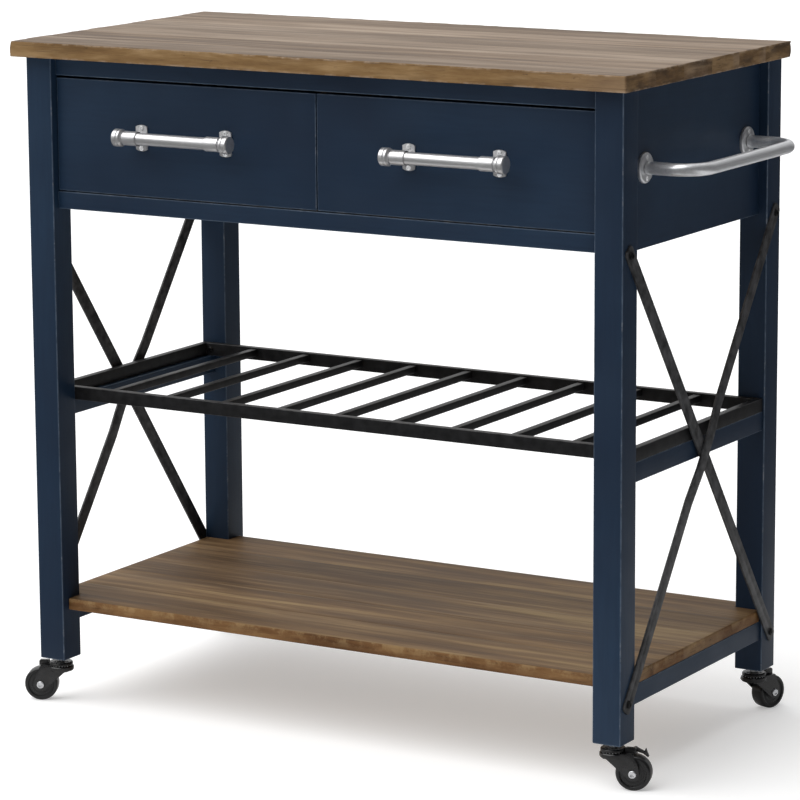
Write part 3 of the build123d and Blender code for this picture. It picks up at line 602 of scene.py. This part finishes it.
def slab(name, node, material, cell, planks, wear):
    """A planked board with hand-worn arrises: scalloped edges, gouges and a fine joint between planks."""
    lo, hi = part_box(node)
    bm = block_mesh(lo, hi, 1.3 * MM, 3)
    slice_along(bm, X_AXIS, spaced(lo.x, hi.x, cell))
    joints = plank_joints(lo, hi, planks)
    slice_along(bm, Y_AXIS, sorted(joint_rows(joints) + spaced(lo.y, hi.y, cell)))
    slice_along(bm, Z_AXIS, spaced(lo.z, hi.z, 3 * MM))
    for axis in (X_AXIS, Y_AXIS):
        slice_along(bm, axis, [lo[axis] + 3.5 * MM, hi[axis] - 3.5 * MM])
    layers = {key: bm.verts.layers.float.new(key) for key in ("arris", "rim", "plank", "end", "gouge")}
    for v in bm.verts:
        co = v.co.copy()
        end_side = min(co.x - lo.x, hi.x - co.x)
        long_side = min(co.y - lo.y, hi.y - co.y)
        side = min(end_side, long_side)
        top, bottom = hi.z - co.z, co.z - lo.z
        v[layers["plank"]] = plank_value(co.y, lo, hi, planks, 0.21)
        v[layers["rim"]] = max(0.0, min(1.0, 1.0 - (side - 0.7 * MM) / (0.9 * MM)))
        v[layers["arris"]] = max(0.0, min(1.0, 1.0 - max(side, min(top, bottom)) / (3.0 * MM)))
        v[layers["end"]] = 1.0 if end_side < 1.5 * MM else 0.0
        if side > 4 * MM:
            nearest = min(abs(co.y - y) for y in joints)
            if top < 0.01 * MM and nearest < 0.3 * MM:
                v.co.z -= 0.25 * MM
            continue
        at_end = end_side < 3 * MM
        inward = Vector((from_sides(co.x, lo.x, hi.x, 3 * MM), from_sides(co.y, lo.y, hi.y, 3 * MM), 0))
        worn = max(0.0, fractal(co * 22.0) + 0.10)
        rough = max(0.0, fractal(co * 75.0))
        along = Vector((co.x * 16.0 + 5, co.y * 16.0 + 3, co.z * 70.0 + 9))
        gouge = max(0.0, fractal(along) - 0.16) * (1.6 if at_end else 0.7)
        near_arris = max(0.0, 1.0 - top / (7 * MM))
        bite = worn * (0.25 + near_arris) + rough * 0.35 + gouge * (0.5 + near_arris)
        v.co += inward * min(1.9 * MM, bite * wear)
        if top < 1.5 * MM:
            v.co.z -= min(1.6 * MM, (worn * 0.8 + gouge * 1.5) * wear) * max(0.0, 1.0 - side / (4 * MM))
        v[layers["gouge"]] = max(0.0, min(1.0, gouge * 3.2)) * (0.8 if at_end else 0.22)
    keep(name, bm, "frame", material, [node], smooth_angle=50.0)


slab("worktop_planks", "worktop", TOP_WOOD, cell=6 * MM, planks=6, wear=1.9 * MM)


def shelf_piece():
    """The bottom shelf, notched round the four legs, built as a grid so that its notches are clean."""
    node = "bottom_shelf"
    lo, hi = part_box(node)
    leg_lo, leg_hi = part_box("leg_front_left")
    gap = 0.4 * MM
    in_x = leg_hi.x + gap
    in_y = leg_hi.y + gap
    far_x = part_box("leg_front_right")[0].x - gap
    far_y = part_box("leg_back_left")[0].y - gap
    outline = [
        (in_x, lo.y), (far_x, lo.y), (far_x, in_y), (hi.x, in_y), (hi.x, far_y), (far_x, far_y),
        (far_x, hi.y), (in_x, hi.y), (in_x, far_y), (lo.x, far_y), (lo.x, in_y), (in_x, in_y),
    ]
    bm = bmesh.new()
    ring = [bm.verts.new((x, y, lo.z)) for x, y in outline]
    base = bm.faces.new(ring)
    raised = bmesh.ops.extrude_face_region(bm, geom=[base])
    for item in raised["geom"]:
        if isinstance(item, bmesh.types.BMVert):
            item.co.z = hi.z
    bmesh.ops.recalc_face_normals(bm, faces=bm.faces)
    outer = [e for e in bm.edges if e.calc_face_angle_signed(0.0) > 0.5]
    bmesh.ops.bevel(bm, geom=outer, offset=1.8 * MM, segments=4, profile=0.5, affect="EDGES")
    planks = 5
    joints = plank_joints(lo, hi, planks)
    slice_along(bm, X_AXIS, spaced(lo.x, hi.x, 12 * MM) + [in_x + 3 * MM, far_x - 3 * MM])
    slice_along(bm, Y_AXIS, sorted(joint_rows(joints) + spaced(lo.y, hi.y, 12 * MM)))
    arris = bm.verts.layers.float.new("arris")
    rim = bm.verts.layers.float.new("rim")
    plank = bm.verts.layers.float.new("plank")
    for v in bm.verts:
        co = v.co.copy()
        upright_face = any(abs(f.normal.z) < 0.6 for f in v.link_faces)
        flat_face = any(abs(f.normal.z) > 0.95 for f in v.link_faces)
        v[rim] = 1.0 if upright_face else 0.0
        v[arris] = 0.0
        if upright_face and flat_face:
            v[arris] = 1.0
        elif upright_face and abs(co.z - hi.z) < 2 * MM:
            v[arris] = 0.7
        v[plank] = plank_value(co.y, lo, hi, planks, 0.37)
        inward_x = from_sides(co.x, lo.x, hi.x, 4 * MM)
        inward_y = from_sides(co.y, lo.y, hi.y, 4 * MM)
        if upright_face and (inward_x or inward_y):
            cut = max(0.0, fractal(co * 30.0)) * 0.5 * MM
            v.co.x += cut * inward_x
            v.co.y += cut * inward_y
        nearest = min(abs(co.y - y) for y in joints)
        if co.z > hi.z - 0.01 * MM and nearest < 0.3 * MM and not upright_face:
            v.co.z -= 0.2 * MM
    keep("bottom_shelf_planks", bm, "frame", SHELF_WOOD, [node], smooth_angle=50.0)


shelf_piece()

# ------------------------------------------------------------------ painted timber

for i, place in enumerate(PLACES):
    lo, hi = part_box(f"leg_{place}")
    board(f"leg_post_{place}", lo, hi, Z_AXIS, "frame", [f"leg_{place}"], bevel=1.8 * MM, seed=3.7 * i)

for side in ("left", "right"):
    lo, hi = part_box(f"side_panel_{side}")
    board(f"end_panel_{side}", lo, hi, Y_AXIS, "frame", [f"side_panel_{side}"], bevel=0.8 * MM)
    lo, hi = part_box(f"{side}_drawer_front")
    board(f"drawer_face_{side}", lo, hi, X_AXIS, f"{side}_drawer", [f"{side}_drawer_front"], bevel=1.3 * MM)

lo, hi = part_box("back_panel")
board("back_board", lo, hi, X_AXIS, "frame", ["back_panel"], bevel=0.8 * MM)
for node in ("front_top_rail", "front_lower_rail"):
    lo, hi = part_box(node)
    board(f"{node}_board", lo, hi, X_AXIS, "frame", [node], bevel=1.5 * MM)
for node in ("middle_side_rails", "lower_side_rails"):
    for i, (lo, hi) in enumerate(node_parts(node)):
        board(f"{node}_{i + 1}", lo, hi, Y_AXIS, "frame", [node], bevel=1.4 * MM, seed=9.1 * i)

# ------------------------------------------------------------------ rack


def rack_tube(name, lo, hi, node):
    """A rectangular tube with rolled corners."""
    axis = X_AXIS if hi.x - lo.x > hi.y - lo.y else Y_AXIS
    bm = block_mesh(lo, hi, 1.0 * MM, 3)
    slice_along(bm, axis, spaced(lo[axis], hi[axis], 60 * MM))
    mark_arrises(bm, lo, hi, 1.1 * MM)
    keep(name, bm, "frame", BLACK, [node])


def rack():
    """Two side bars, two bars between them, and the slats."""
    lo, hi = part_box("rack_frame")
    slat_lo, slat_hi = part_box("rack_slats")
    width = slat_lo.y - lo.y
    bars = {
        "left": (lo, Vector((lo.x + width, hi.y, hi.z))),
        "right": (Vector((hi.x - width, lo.y, lo.z)), hi),
        "front": (Vector((lo.x + width, lo.y, lo.z)), Vector((hi.x - width, slat_lo.y, hi.z))),
        "back": (Vector((lo.x + width, slat_hi.y, lo.z)), Vector((hi.x - width, hi.y, hi.z))),
    }
    for side, (low, high) in bars.items():
        rack_tube(f"rack_bar_{side}", low, high, "rack_frame")
    slats = sorted(node_parts("rack_slats"), key=lambda part: part[0].x)
    for i, (low, high) in enumerate(slats):
        rack_tube(f"rack_slat_{i + 1}", low, high, "rack_slats")
        weld_beads(f"rack_welds_{i + 1}", low, high)


def weld_beads(name, low, high):
    """A short fillet weld under each end of a slat, with its ripples."""
    bm = bmesh.new()
    steps, sides = 14, 8
    for y, inward in ((low.y, 1), (high.y, -1)):
        rings = []
        for i in range(steps + 1):
            t = i / steps
            swell = math.sin(math.pi * t) ** 0.35
            radius = (0.9 + 0.12 * math.sin(t * 40)) * MM * max(0.15, swell)
            x = low.x + (high.x - low.x) * (0.08 + 0.84 * t)
            at = Vector((x, y + inward * 0.25 * MM, low.z + 0.25 * MM))
            rings.append(
                circle(bm, sides, lambda turn: at + Vector((0, math.cos(turn), math.sin(turn))) * radius)
            )
        bridge(bm, rings)
        cap_ends(bm, rings)
    keep(name, bm, "frame", BLACK, ["rack_slats"])


rack()

# ------------------------------------------------------------------ braces and their screws

for side in ("left", "right"):
    refined(f"{side}_braces", f"{side}_crossed_braces", 0.5 * MM)


def cross_screws(node, head_height, outward, material):
    """A cross recessed pan head over each screw of a node. outward gives each head's direction."""
    body = NODE_BODY[node]
    for i, (lo, hi) in enumerate(sorted(node_parts(node), key=lambda part: tuple(part[0]))):
        direction = outward(lo, hi)
        axis = max(range(3), key=lambda k: abs(direction[k]))
        at = (lo + hi) / 2
        face = hi[axis] if direction[axis] > 0 else lo[axis]
        at[axis] = face - direction[axis] * head_height
        radius = max((hi - lo)[k] for k in range(3) if k != axis) / 2
        bm = cross_screw_mesh(radius, head_height)
        turn = Matrix.Rotation(random.uniform(0, math.pi / 2), 4, "Z")
        keep(f"{node}_{i + 1}", bm, body, material, [node], matrix=upright(direction, at) @ turn)


def black_screw_direction(lo, hi):
    middle = (lo + hi) / 2
    if hi.x - lo.x > hi.y - lo.y:
        return Vector((math.copysign(1, middle.x - cart_x), 0, 0))
    return Vector((0, -math.copysign(1, middle.y - cart_y), 0))


random.seed(11)
cross_screws("brace_and_rack_screws", 2.4 * MM, black_screw_direction, BLACK)
cross_screws("towel_bar_screws", 2.0 * MM, lambda lo, hi: Vector((1, 0, 0)), LIT_ZINC)
for side in ("left", "right"):
    cross_screws(f"{side}_handle_screws", 1.6 * MM, lambda lo, hi: Vector((0, -1, 0)), LIT_ZINC)

# ------------------------------------------------------------------ handles


def handle_outline(half, cap):
    """Tube, stepped collar and grooved cap, from the middle out to one end, as (radius, distance)."""
    tube, collar = cap * 0.694, cap * 0.817
    points = [
        (tube, 0.0), (tube, half - 33.0 * MM), (collar - 0.4 * MM, half - 33.0 * MM),
        (collar - 0.4 * MM, half - 36.4 * MM), (collar, half - 36.0 * MM),
        (collar, half - 15.6 * MM), (collar - 2.2 * MM, half - 15.4 * MM),
        (collar - 2.2 * MM, half - 13.4 * MM), (collar + 0.2 * MM, half - 13.2 * MM),
        (cap, half - 11.0 * MM), (cap, half - 8.3 * MM),
        (cap - 0.8 * MM, half - 7.8 * MM), (cap - 0.8 * MM, half - 7.2 * MM), (cap, half - 6.7 * MM),
        (cap, half - 1.2 * MM), (cap - 1.2 * MM, half), (0.0, half),
    ]
    return eased(points, 0.35 * MM)


def handle(side):
    node = f"{side}_handle_bar"
    lo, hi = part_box(node)
    half = (hi.x - lo.x) / 2
    outline = handle_outline(half, (hi.z - lo.z) / 2)
    whole = [(r, -d) for r, d in reversed(outline)] + outline[1:]
    bar = lathe_mesh(whole, 72)
    keep(
        f"{side}_pipe_handle", bar, f"{side}_drawer", SATIN, [node], smooth_angle=30.0,
        matrix=upright((1, 0, 0), centre(node)),
    )
    refined(f"{side}_handle_brackets", f"{side}_handle_feet", 0.4 * MM)


for side in ("left", "right"):
    handle(side)

# ------------------------------------------------------------------ towel bar

BEND = 38 * MM


def bent_bar_path(lo, hi, radius):
    """Centre line of the towel bar: out, round, along, round and back."""
    z = (lo.z + hi.z) / 2
    far = hi.x - radius
    near_y, far_y = lo.y + radius, hi.y - radius
    points = [Vector((lo.x + (far - BEND - lo.x) * i / 4, near_y, z)) for i in range(4)]
    for i in range(25):
        turn = math.pi / 2 * i / 24
        x = far - BEND + BEND * math.sin(turn)
        points.append(Vector((x, near_y + BEND - BEND * math.cos(turn), z)))
    steps = 12
    start, end = near_y + BEND, far_y - BEND
    points += [Vector((far, start + (end - start) * i / steps, z)) for i in range(1, steps)]
    for i in range(25):
        turn = math.pi / 2 * i / 24
        x = far - BEND + BEND * math.cos(turn)
        points.append(Vector((x, far_y - BEND + BEND * math.sin(turn), z)))
    points += [Vector((far - BEND + (lo.x - far + BEND) * i / 4, far_y, z)) for i in range(1, 5)]
    return points


def tube_mesh(points, radius, sides=48):
    """A round tube in the XY plane along a path, closed at its ends."""
    bm = bmesh.new()
    rings = []
    for i, p in enumerate(points):
        before, after = points[max(0, i - 1)], points[min(len(points) - 1, i + 1)]
        along = (after - before).normalized()
        out = along.cross(UP).normalized()
        rings.append(
            circle(bm, sides, lambda turn: p + out * math.cos(turn) * radius + UP * math.sin(turn) * radius)
        )
    bridge(bm, rings)
    cap_ends(bm, rings)
    return bm


def towel_bar():
    lo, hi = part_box("towel_bar")
    radius = (hi.z - lo.z) / 2
    bar = tube_mesh(bent_bar_path(lo, hi, radius), radius)
    keep("towel_rail", bar, "frame", SATIN_Y, ["towel_bar"])
    lo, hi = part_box("towel_bar_flanges")
    rose = (hi.z - lo.z) / 2
    thick = hi.x - lo.x
    outline = eased(
        [
            (0.0, 0.0), (rose, 0.0), (rose, thick - 1.6 * MM), (rose - 1.8 * MM, thick),
            (radius + 1.5 * MM, thick), (radius + 1.3 * MM, thick - 1.2 * MM),
            (radius - 0.4 * MM, thick - 1.2 * MM), (0.0, thick - 1.2 * MM),
        ],
        0.5 * MM,
    )
    for name, y in (("front", lo.y + rose), ("back", hi.y - rose)):
        disc = lathe_mesh(outline, 72)
        at = Vector((lo.x, y, (lo.z + hi.z) / 2))
        keep(
            f"towel_rail_rose_{name}", disc, "frame", ROSE_STEEL, ["towel_bar_flanges"],
            matrix=upright((1, 0, 0), at),
        )


towel_bar()

# ------------------------------------------------------------------ casters

HALF_TREAD = 10 * MM
HALF_RIVET = 15.2 * MM
BALLS = 22
BALL_RADIUS = 0.95 * MM


def caster_matrix(place):
    """The caster's own frame: Z up the stem, X towards the axle, origin on the floor."""
    stem = centre(f"leg_{place}")
    axle = Vector(joint(f"caster_wheel_roll_{place}")["pos_m"])
    trail = Vector((axle.x - stem.x, axle.y - stem.y, 0))
    x = trail.normalized()
    y = UP.cross(x)
    turn = Matrix((x, y, UP)).transposed().to_4x4()
    return Matrix.Translation((stem.x, stem.y, 0)) @ turn, trail.length, axle.z


def wheel_mesh(radius, half):
    """Tread and hub in one: rounded shoulders, a raised rim, a dished web with two steps and a boss."""
    r = radius / MM
    h = half / MM
    side = [
        (3.06, h + 0.8), (6.2, h + 0.8), (6.7, h + 0.4), (7.2, h - 1.2), (11.6, h - 1.6), (12.0, h - 1.2),
        (14.2, h - 1.2), (14.6, h - 1.8), (16.9, h - 1.7), (17.6, h - 0.4), (18.2, h), (r - 2.2, h),
        (r - 1.0, h - 0.8), (r - 0.3, h - 2.0), (r, h - 3.6),
    ]
    outline = [(a * MM, -b * MM) for a, b in side] + [(a * MM, b * MM) for a, b in reversed(side)]
    outline.append(outline[0])
    return lathe_mesh(outline, 96)


def rivet_mesh(half_span):
    """The axle rivet: a pin with a dimpled, dished head at each end."""
    s = half_span / MM
    side = [
        (3.0, 0.0), (3.0, s - 1.8), (4.6, s - 1.8), (4.9, s - 1.4), (4.9, s - 0.6), (4.3, s - 0.1),
        (3.6, s), (2.9, s - 0.1), (2.2, s - 0.6), (1.2, s - 0.8), (0.0, s - 0.8),
    ]
    outer = [(a * MM, b * MM) for a, b in side]
    return lathe_mesh([(a, -b) for a, b in reversed(outer)] + outer[1:], 48)


def race_cap_mesh(lo, hi):
    """The upper bearing cap: a rolled rim with its groove, and a flat top that the stem's nut sits on."""
    r = (hi.x - lo.x) / 2 / MM
    low, top = lo.z / MM, hi.z / MM
    points = [
        (3.0, low), (r - 2.2, low), (r - 2.2, low + 0.5), (r - 0.6, low + 0.8), (r, low + 1.3),
        (r, top - 4.7), (r - 0.3, top - 4.5), (r, top - 4.3), (r, top - 3.4),
        (r - 0.8, top - 2.5), (r - 2.2, top - 2.1),
        (r - 5.0, top - 2.3), (r - 6.0, top - 1.9), (3.0, top - 1.9),
    ]
    outline = eased([(a * MM, b * MM) for a, b in points], 0.4 * MM)
    outline.append(outline[0])
    return lathe_mesh(outline, 72)


def bearing_balls(place, at, radius, height):
    """The lower race's balls, just seen in the gap between cap and fork."""
    bm = bmesh.new()
    for i in range(BALLS):
        turn = 2 * math.pi * i / BALLS
        ball = Vector((at.x + radius * math.cos(turn), at.y + radius * math.sin(turn), height))
        move = Matrix.Translation(ball)
        bmesh.ops.create_uvsphere(bm, u_segments=14, v_segments=8, radius=BALL_RADIUS, matrix=move)
    keep(f"bearing_balls_{place}", bm, "frame", ZINC, ["caster_bearing_caps"])


def caster(place):
    body = f"caster_swivel_{place}"
    matrix, trail, axle_z = caster_matrix(place)
    stem = centre(f"leg_{place}")
    refined(f"caster_fork_{place}", f"fork_{place}", 0.35 * MM)
    across = matrix @ Matrix.Translation((trail, 0, axle_z)) @ Matrix.Rotation(math.radians(90), 4, "X")
    wheel = wheel_mesh(axle_z, HALF_TREAD)
    keep(
        f"wheel_{place}", wheel, f"caster_roller_{place}", TREAD, [f"caster_wheel_{place}"],
        matrix=across,
    )
    rivet = rivet_mesh(HALF_RIVET)
    keep(f"axle_rivet_{place}", rivet, body, ZINC, [f"caster_axle_{place}"], matrix=across)
    cap_lo, cap_hi = cap_box(stem)
    cap = race_cap_mesh(cap_lo, cap_hi)
    move = Matrix.Translation((stem.x, stem.y, 0))
    keep(
        f"race_cap_{place}", cap, "frame", CASTER_BLACK, ["caster_bearing_caps"], matrix=move
    )
    bearing_balls(place, stem, (cap_hi.x - cap_lo.x) / 2 - 2.0 * MM, cap_lo.z + 0.5 * MM)
    if place in BRAKED:
        refined(f"brake_lever_{place}", f"brake_pedal_{place}", 0.35 * MM)


CAP_PARTS = node_parts("caster_bearing_caps")


def cap_box(stem):
    return min(CAP_PARTS, key=lambda part: ((part[0] + part[1]) / 2 - stem).xy.length)


for place in PLACES:
    caster(place)
refined("caster_stems", "caster_stem_nuts", 0.3 * MM, material=LIT_ZINC)

# ------------------------------------------------------------------ drawer boxes and slides

WALL = 12 * MM


def raw_board(name, lo, hi, body, nodes):
    bm = block_mesh(lo, hi, 0.7 * MM, 2)
    mark_arrises(bm, lo, hi, 0.8 * MM)
    keep(name, bm, body, RAW_WOOD, nodes)


def drawer_box(side):
    node = f"{side}_drawer_walls"
    lo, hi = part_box(node)
    inner_lo, inner_hi = lo.x + WALL, hi.x - WALL
    walls = {
        "near": (lo, Vector((inner_lo, hi.y, hi.z))),
        "far": (Vector((inner_hi, lo.y, lo.z)), hi),
        "front": (Vector((inner_lo, lo.y, lo.z)), Vector((inner_hi, lo.y + WALL, hi.z))),
        "back": (Vector((inner_lo, hi.y - WALL, lo.z)), Vector((inner_hi, hi.y, hi.z))),
    }
    for name, (low, high) in walls.items():
        raw_board(f"{side}_drawer_{name}_wall", low, high, f"{side}_drawer", [node])


for side in ("left", "right"):
    drawer_box(side)
    refined(f"{side}_drawer_slide_members", f"{side}_drawer_slides", 0.25 * MM, material=ZINC_Y)
    refined(f"{side}_middle_slide_members", f"{side}_middle_slides", 0.25 * MM, material=ZINC_Y)
refined("cabinet_slide_members", "cabinet_slides", 0.25 * MM, material=ZINC_Y)
refined("top_brackets", "worktop_brackets", 0.3 * MM, material=ZINC_Y)
for i, (lo, hi) in enumerate(node_parts("slide_cleats")):
    raw_board(f"slide_cleat_{i + 1}", lo, hi, "frame", ["slide_cleats"])
refined("centre_partition", "drawer_partition", 0.7 * MM)

# ------------------------------------------------------------------ everything else keeps its CAD shape

for node, piece in frame["nodes"].items():
    if piece.hide_render:
        continue
    piece.data.materials.clear()
    piece.data.materials.append(SLOT_MATERIAL[NODE_SLOT[node]])

# ------------------------------------------------------------------ floor, light and camera

FLOOR_GLOW = 0.36


def studio_floor():
    """A pale floor that glows faintly, so that shadows stay light. Reflections of it are darker."""
    bm = bmesh.new()
    bmesh.ops.create_grid(bm, x_segments=4, y_segments=4, size=30)
    mesh = bpy.data.meshes.new("studio_floor")
    bm.to_mesh(mesh)
    bm.free()
    floor = bpy.data.objects.new("studio_floor", mesh)
    bpy.context.scene.collection.objects.link(floor)
    s = Shader("pale_floor")
    where = s.place((1.0, 1.0, 0.0))
    away = s.node("ShaderNodeVectorMath", operation="LENGTH")
    s.feed(away.inputs[0], where)
    mirrored = s.ramp(away.outputs["Value"], [(0.55, 0.70), (0.95, 0.06)], smooth=True)
    behind = s.node("ShaderNodeVectorMath", operation="DOT_PRODUCT")
    s.feed(behind.inputs[0], where)
    behind.inputs[1].default_value = (0.50, 0.85, 0.0)
    sweep = s.math("MULTIPLY", behind.outputs["Value"], 0.5)
    lit = s.ramp(sweep, [(0.12, 0.06), (0.32, 0.70), (0.60, 0.55), (0.95, 0.06)])
    mirrored = s.mix(1.0, mirrored, lit, "LIGHTEN")
    glossy = s.node("ShaderNodeLightPath").outputs["Is Glossy Ray"]
    colour = s.mix(glossy, (0.78, 0.78, 0.78), mirrored)
    glow = s.math("SUBTRACT", FLOOR_GLOW, s.math("MULTIPLY", glossy, FLOOR_GLOW))
    s.feed(s.surface.inputs["Emission Strength"], glow)
    s.finish(colour, 0.8, Specular_IOR_Level=0.1, Emission_Color=(1.0, 1.0, 1.0, 1.0))
    floor.data.materials.append(s.material)


def soft_sun(name, towards, strength, spread):
    """A broad, even light. towards points from the cart to the light."""
    data = bpy.data.lights.new(name, "SUN")
    data.energy = strength
    data.angle = math.radians(spread)
    light = bpy.data.objects.new(name, data)
    light.rotation_euler = Vector(towards).to_track_quat("Z", "Y").to_euler()
    bpy.context.scene.collection.objects.link(light)


WORLD_LIGHT = 0.88


def studio_world():
    """A white room to look at. Its light on the cart fades from the back left to the front right."""
    world = bpy.data.worlds.new("studio")
    bpy.context.scene.world = world
    world.use_nodes = True
    tree = world.node_tree
    where = tree.nodes.new("ShaderNodeTexCoord")
    facing = tree.nodes.new("ShaderNodeVectorMath")
    facing.operation = "DOT_PRODUCT"
    facing.inputs[1].default_value = (-0.72, 0.30, 0.60)
    tree.links.new(where.outputs["Generated"], facing.inputs[0])
    ramp = tree.nodes.new("ShaderNodeValToRGB")
    ramp.color_ramp.elements[0].position = 0.0
    ramp.color_ramp.elements[0].color = (0.045, 0.045, 0.05, 1)
    ramp.color_ramp.elements[1].position = 0.75
    ramp.color_ramp.elements[1].color = (1.0, 1.0, 1.0, 1)
    tree.links.new(facing.outputs["Value"], ramp.inputs["Fac"])
    seen = tree.nodes.new("ShaderNodeLightPath")
    white = tree.nodes.new("ShaderNodeMix")
    white.data_type = "RGBA"
    tree.links.new(seen.outputs["Is Camera Ray"], white.inputs["Factor"])
    tree.links.new(ramp.outputs["Color"], white.inputs[6])
    plain_white = 1 / WORLD_LIGHT
    white.inputs[7].default_value = (plain_white, plain_white, plain_white, 1)
    tree.links.new(white.outputs[2], tree.nodes["Background"].inputs["Color"])
    tree.nodes["Background"].inputs["Strength"].default_value = WORLD_LIGHT


CAMERA_BACK = (2584.6, -4385.3, 1430.4)
CAMERA_TURN = (30.568, 11.154, -0.3345)
CAMERA_LENS = 172.36


def studio_camera():
    """The camera's place is in millimetres from the middle of the cart's legs, on the floor."""
    data = bpy.data.cameras.new("studio_camera")
    data.lens = CAMERA_LENS
    data.sensor_width = 36
    data.clip_start, data.clip_end = 0.1, 100
    camera = bpy.data.objects.new("studio_camera", data)
    around, above, roll = (math.radians(a) for a in CAMERA_TURN)
    level = math.cos(above)
    back = Vector((math.sin(around) * level, -math.cos(around) * level, math.sin(above)))
    right = Vector((math.cos(around), math.sin(around), 0))
    up = back.cross(right)
    turned_right = right * math.cos(roll) + up * math.sin(roll)
    turned_up = up * math.cos(roll) - right * math.sin(roll)
    camera.matrix_world = Matrix.Translation(
        Vector((cart_x, cart_y, 0)) + Vector(CAMERA_BACK) * MM
    ) @ Matrix((turned_right, turned_up, back)).transposed().to_4x4()
    bpy.context.scene.collection.objects.link(camera)
    bpy.context.scene.camera = camera


studio_floor()
studio_world()
soft_sun("overhead", (-0.34, -0.42, 0.84), 2.5, 70)
studio_camera()
bpy.context.scene.view_settings.view_transform = "Standard"
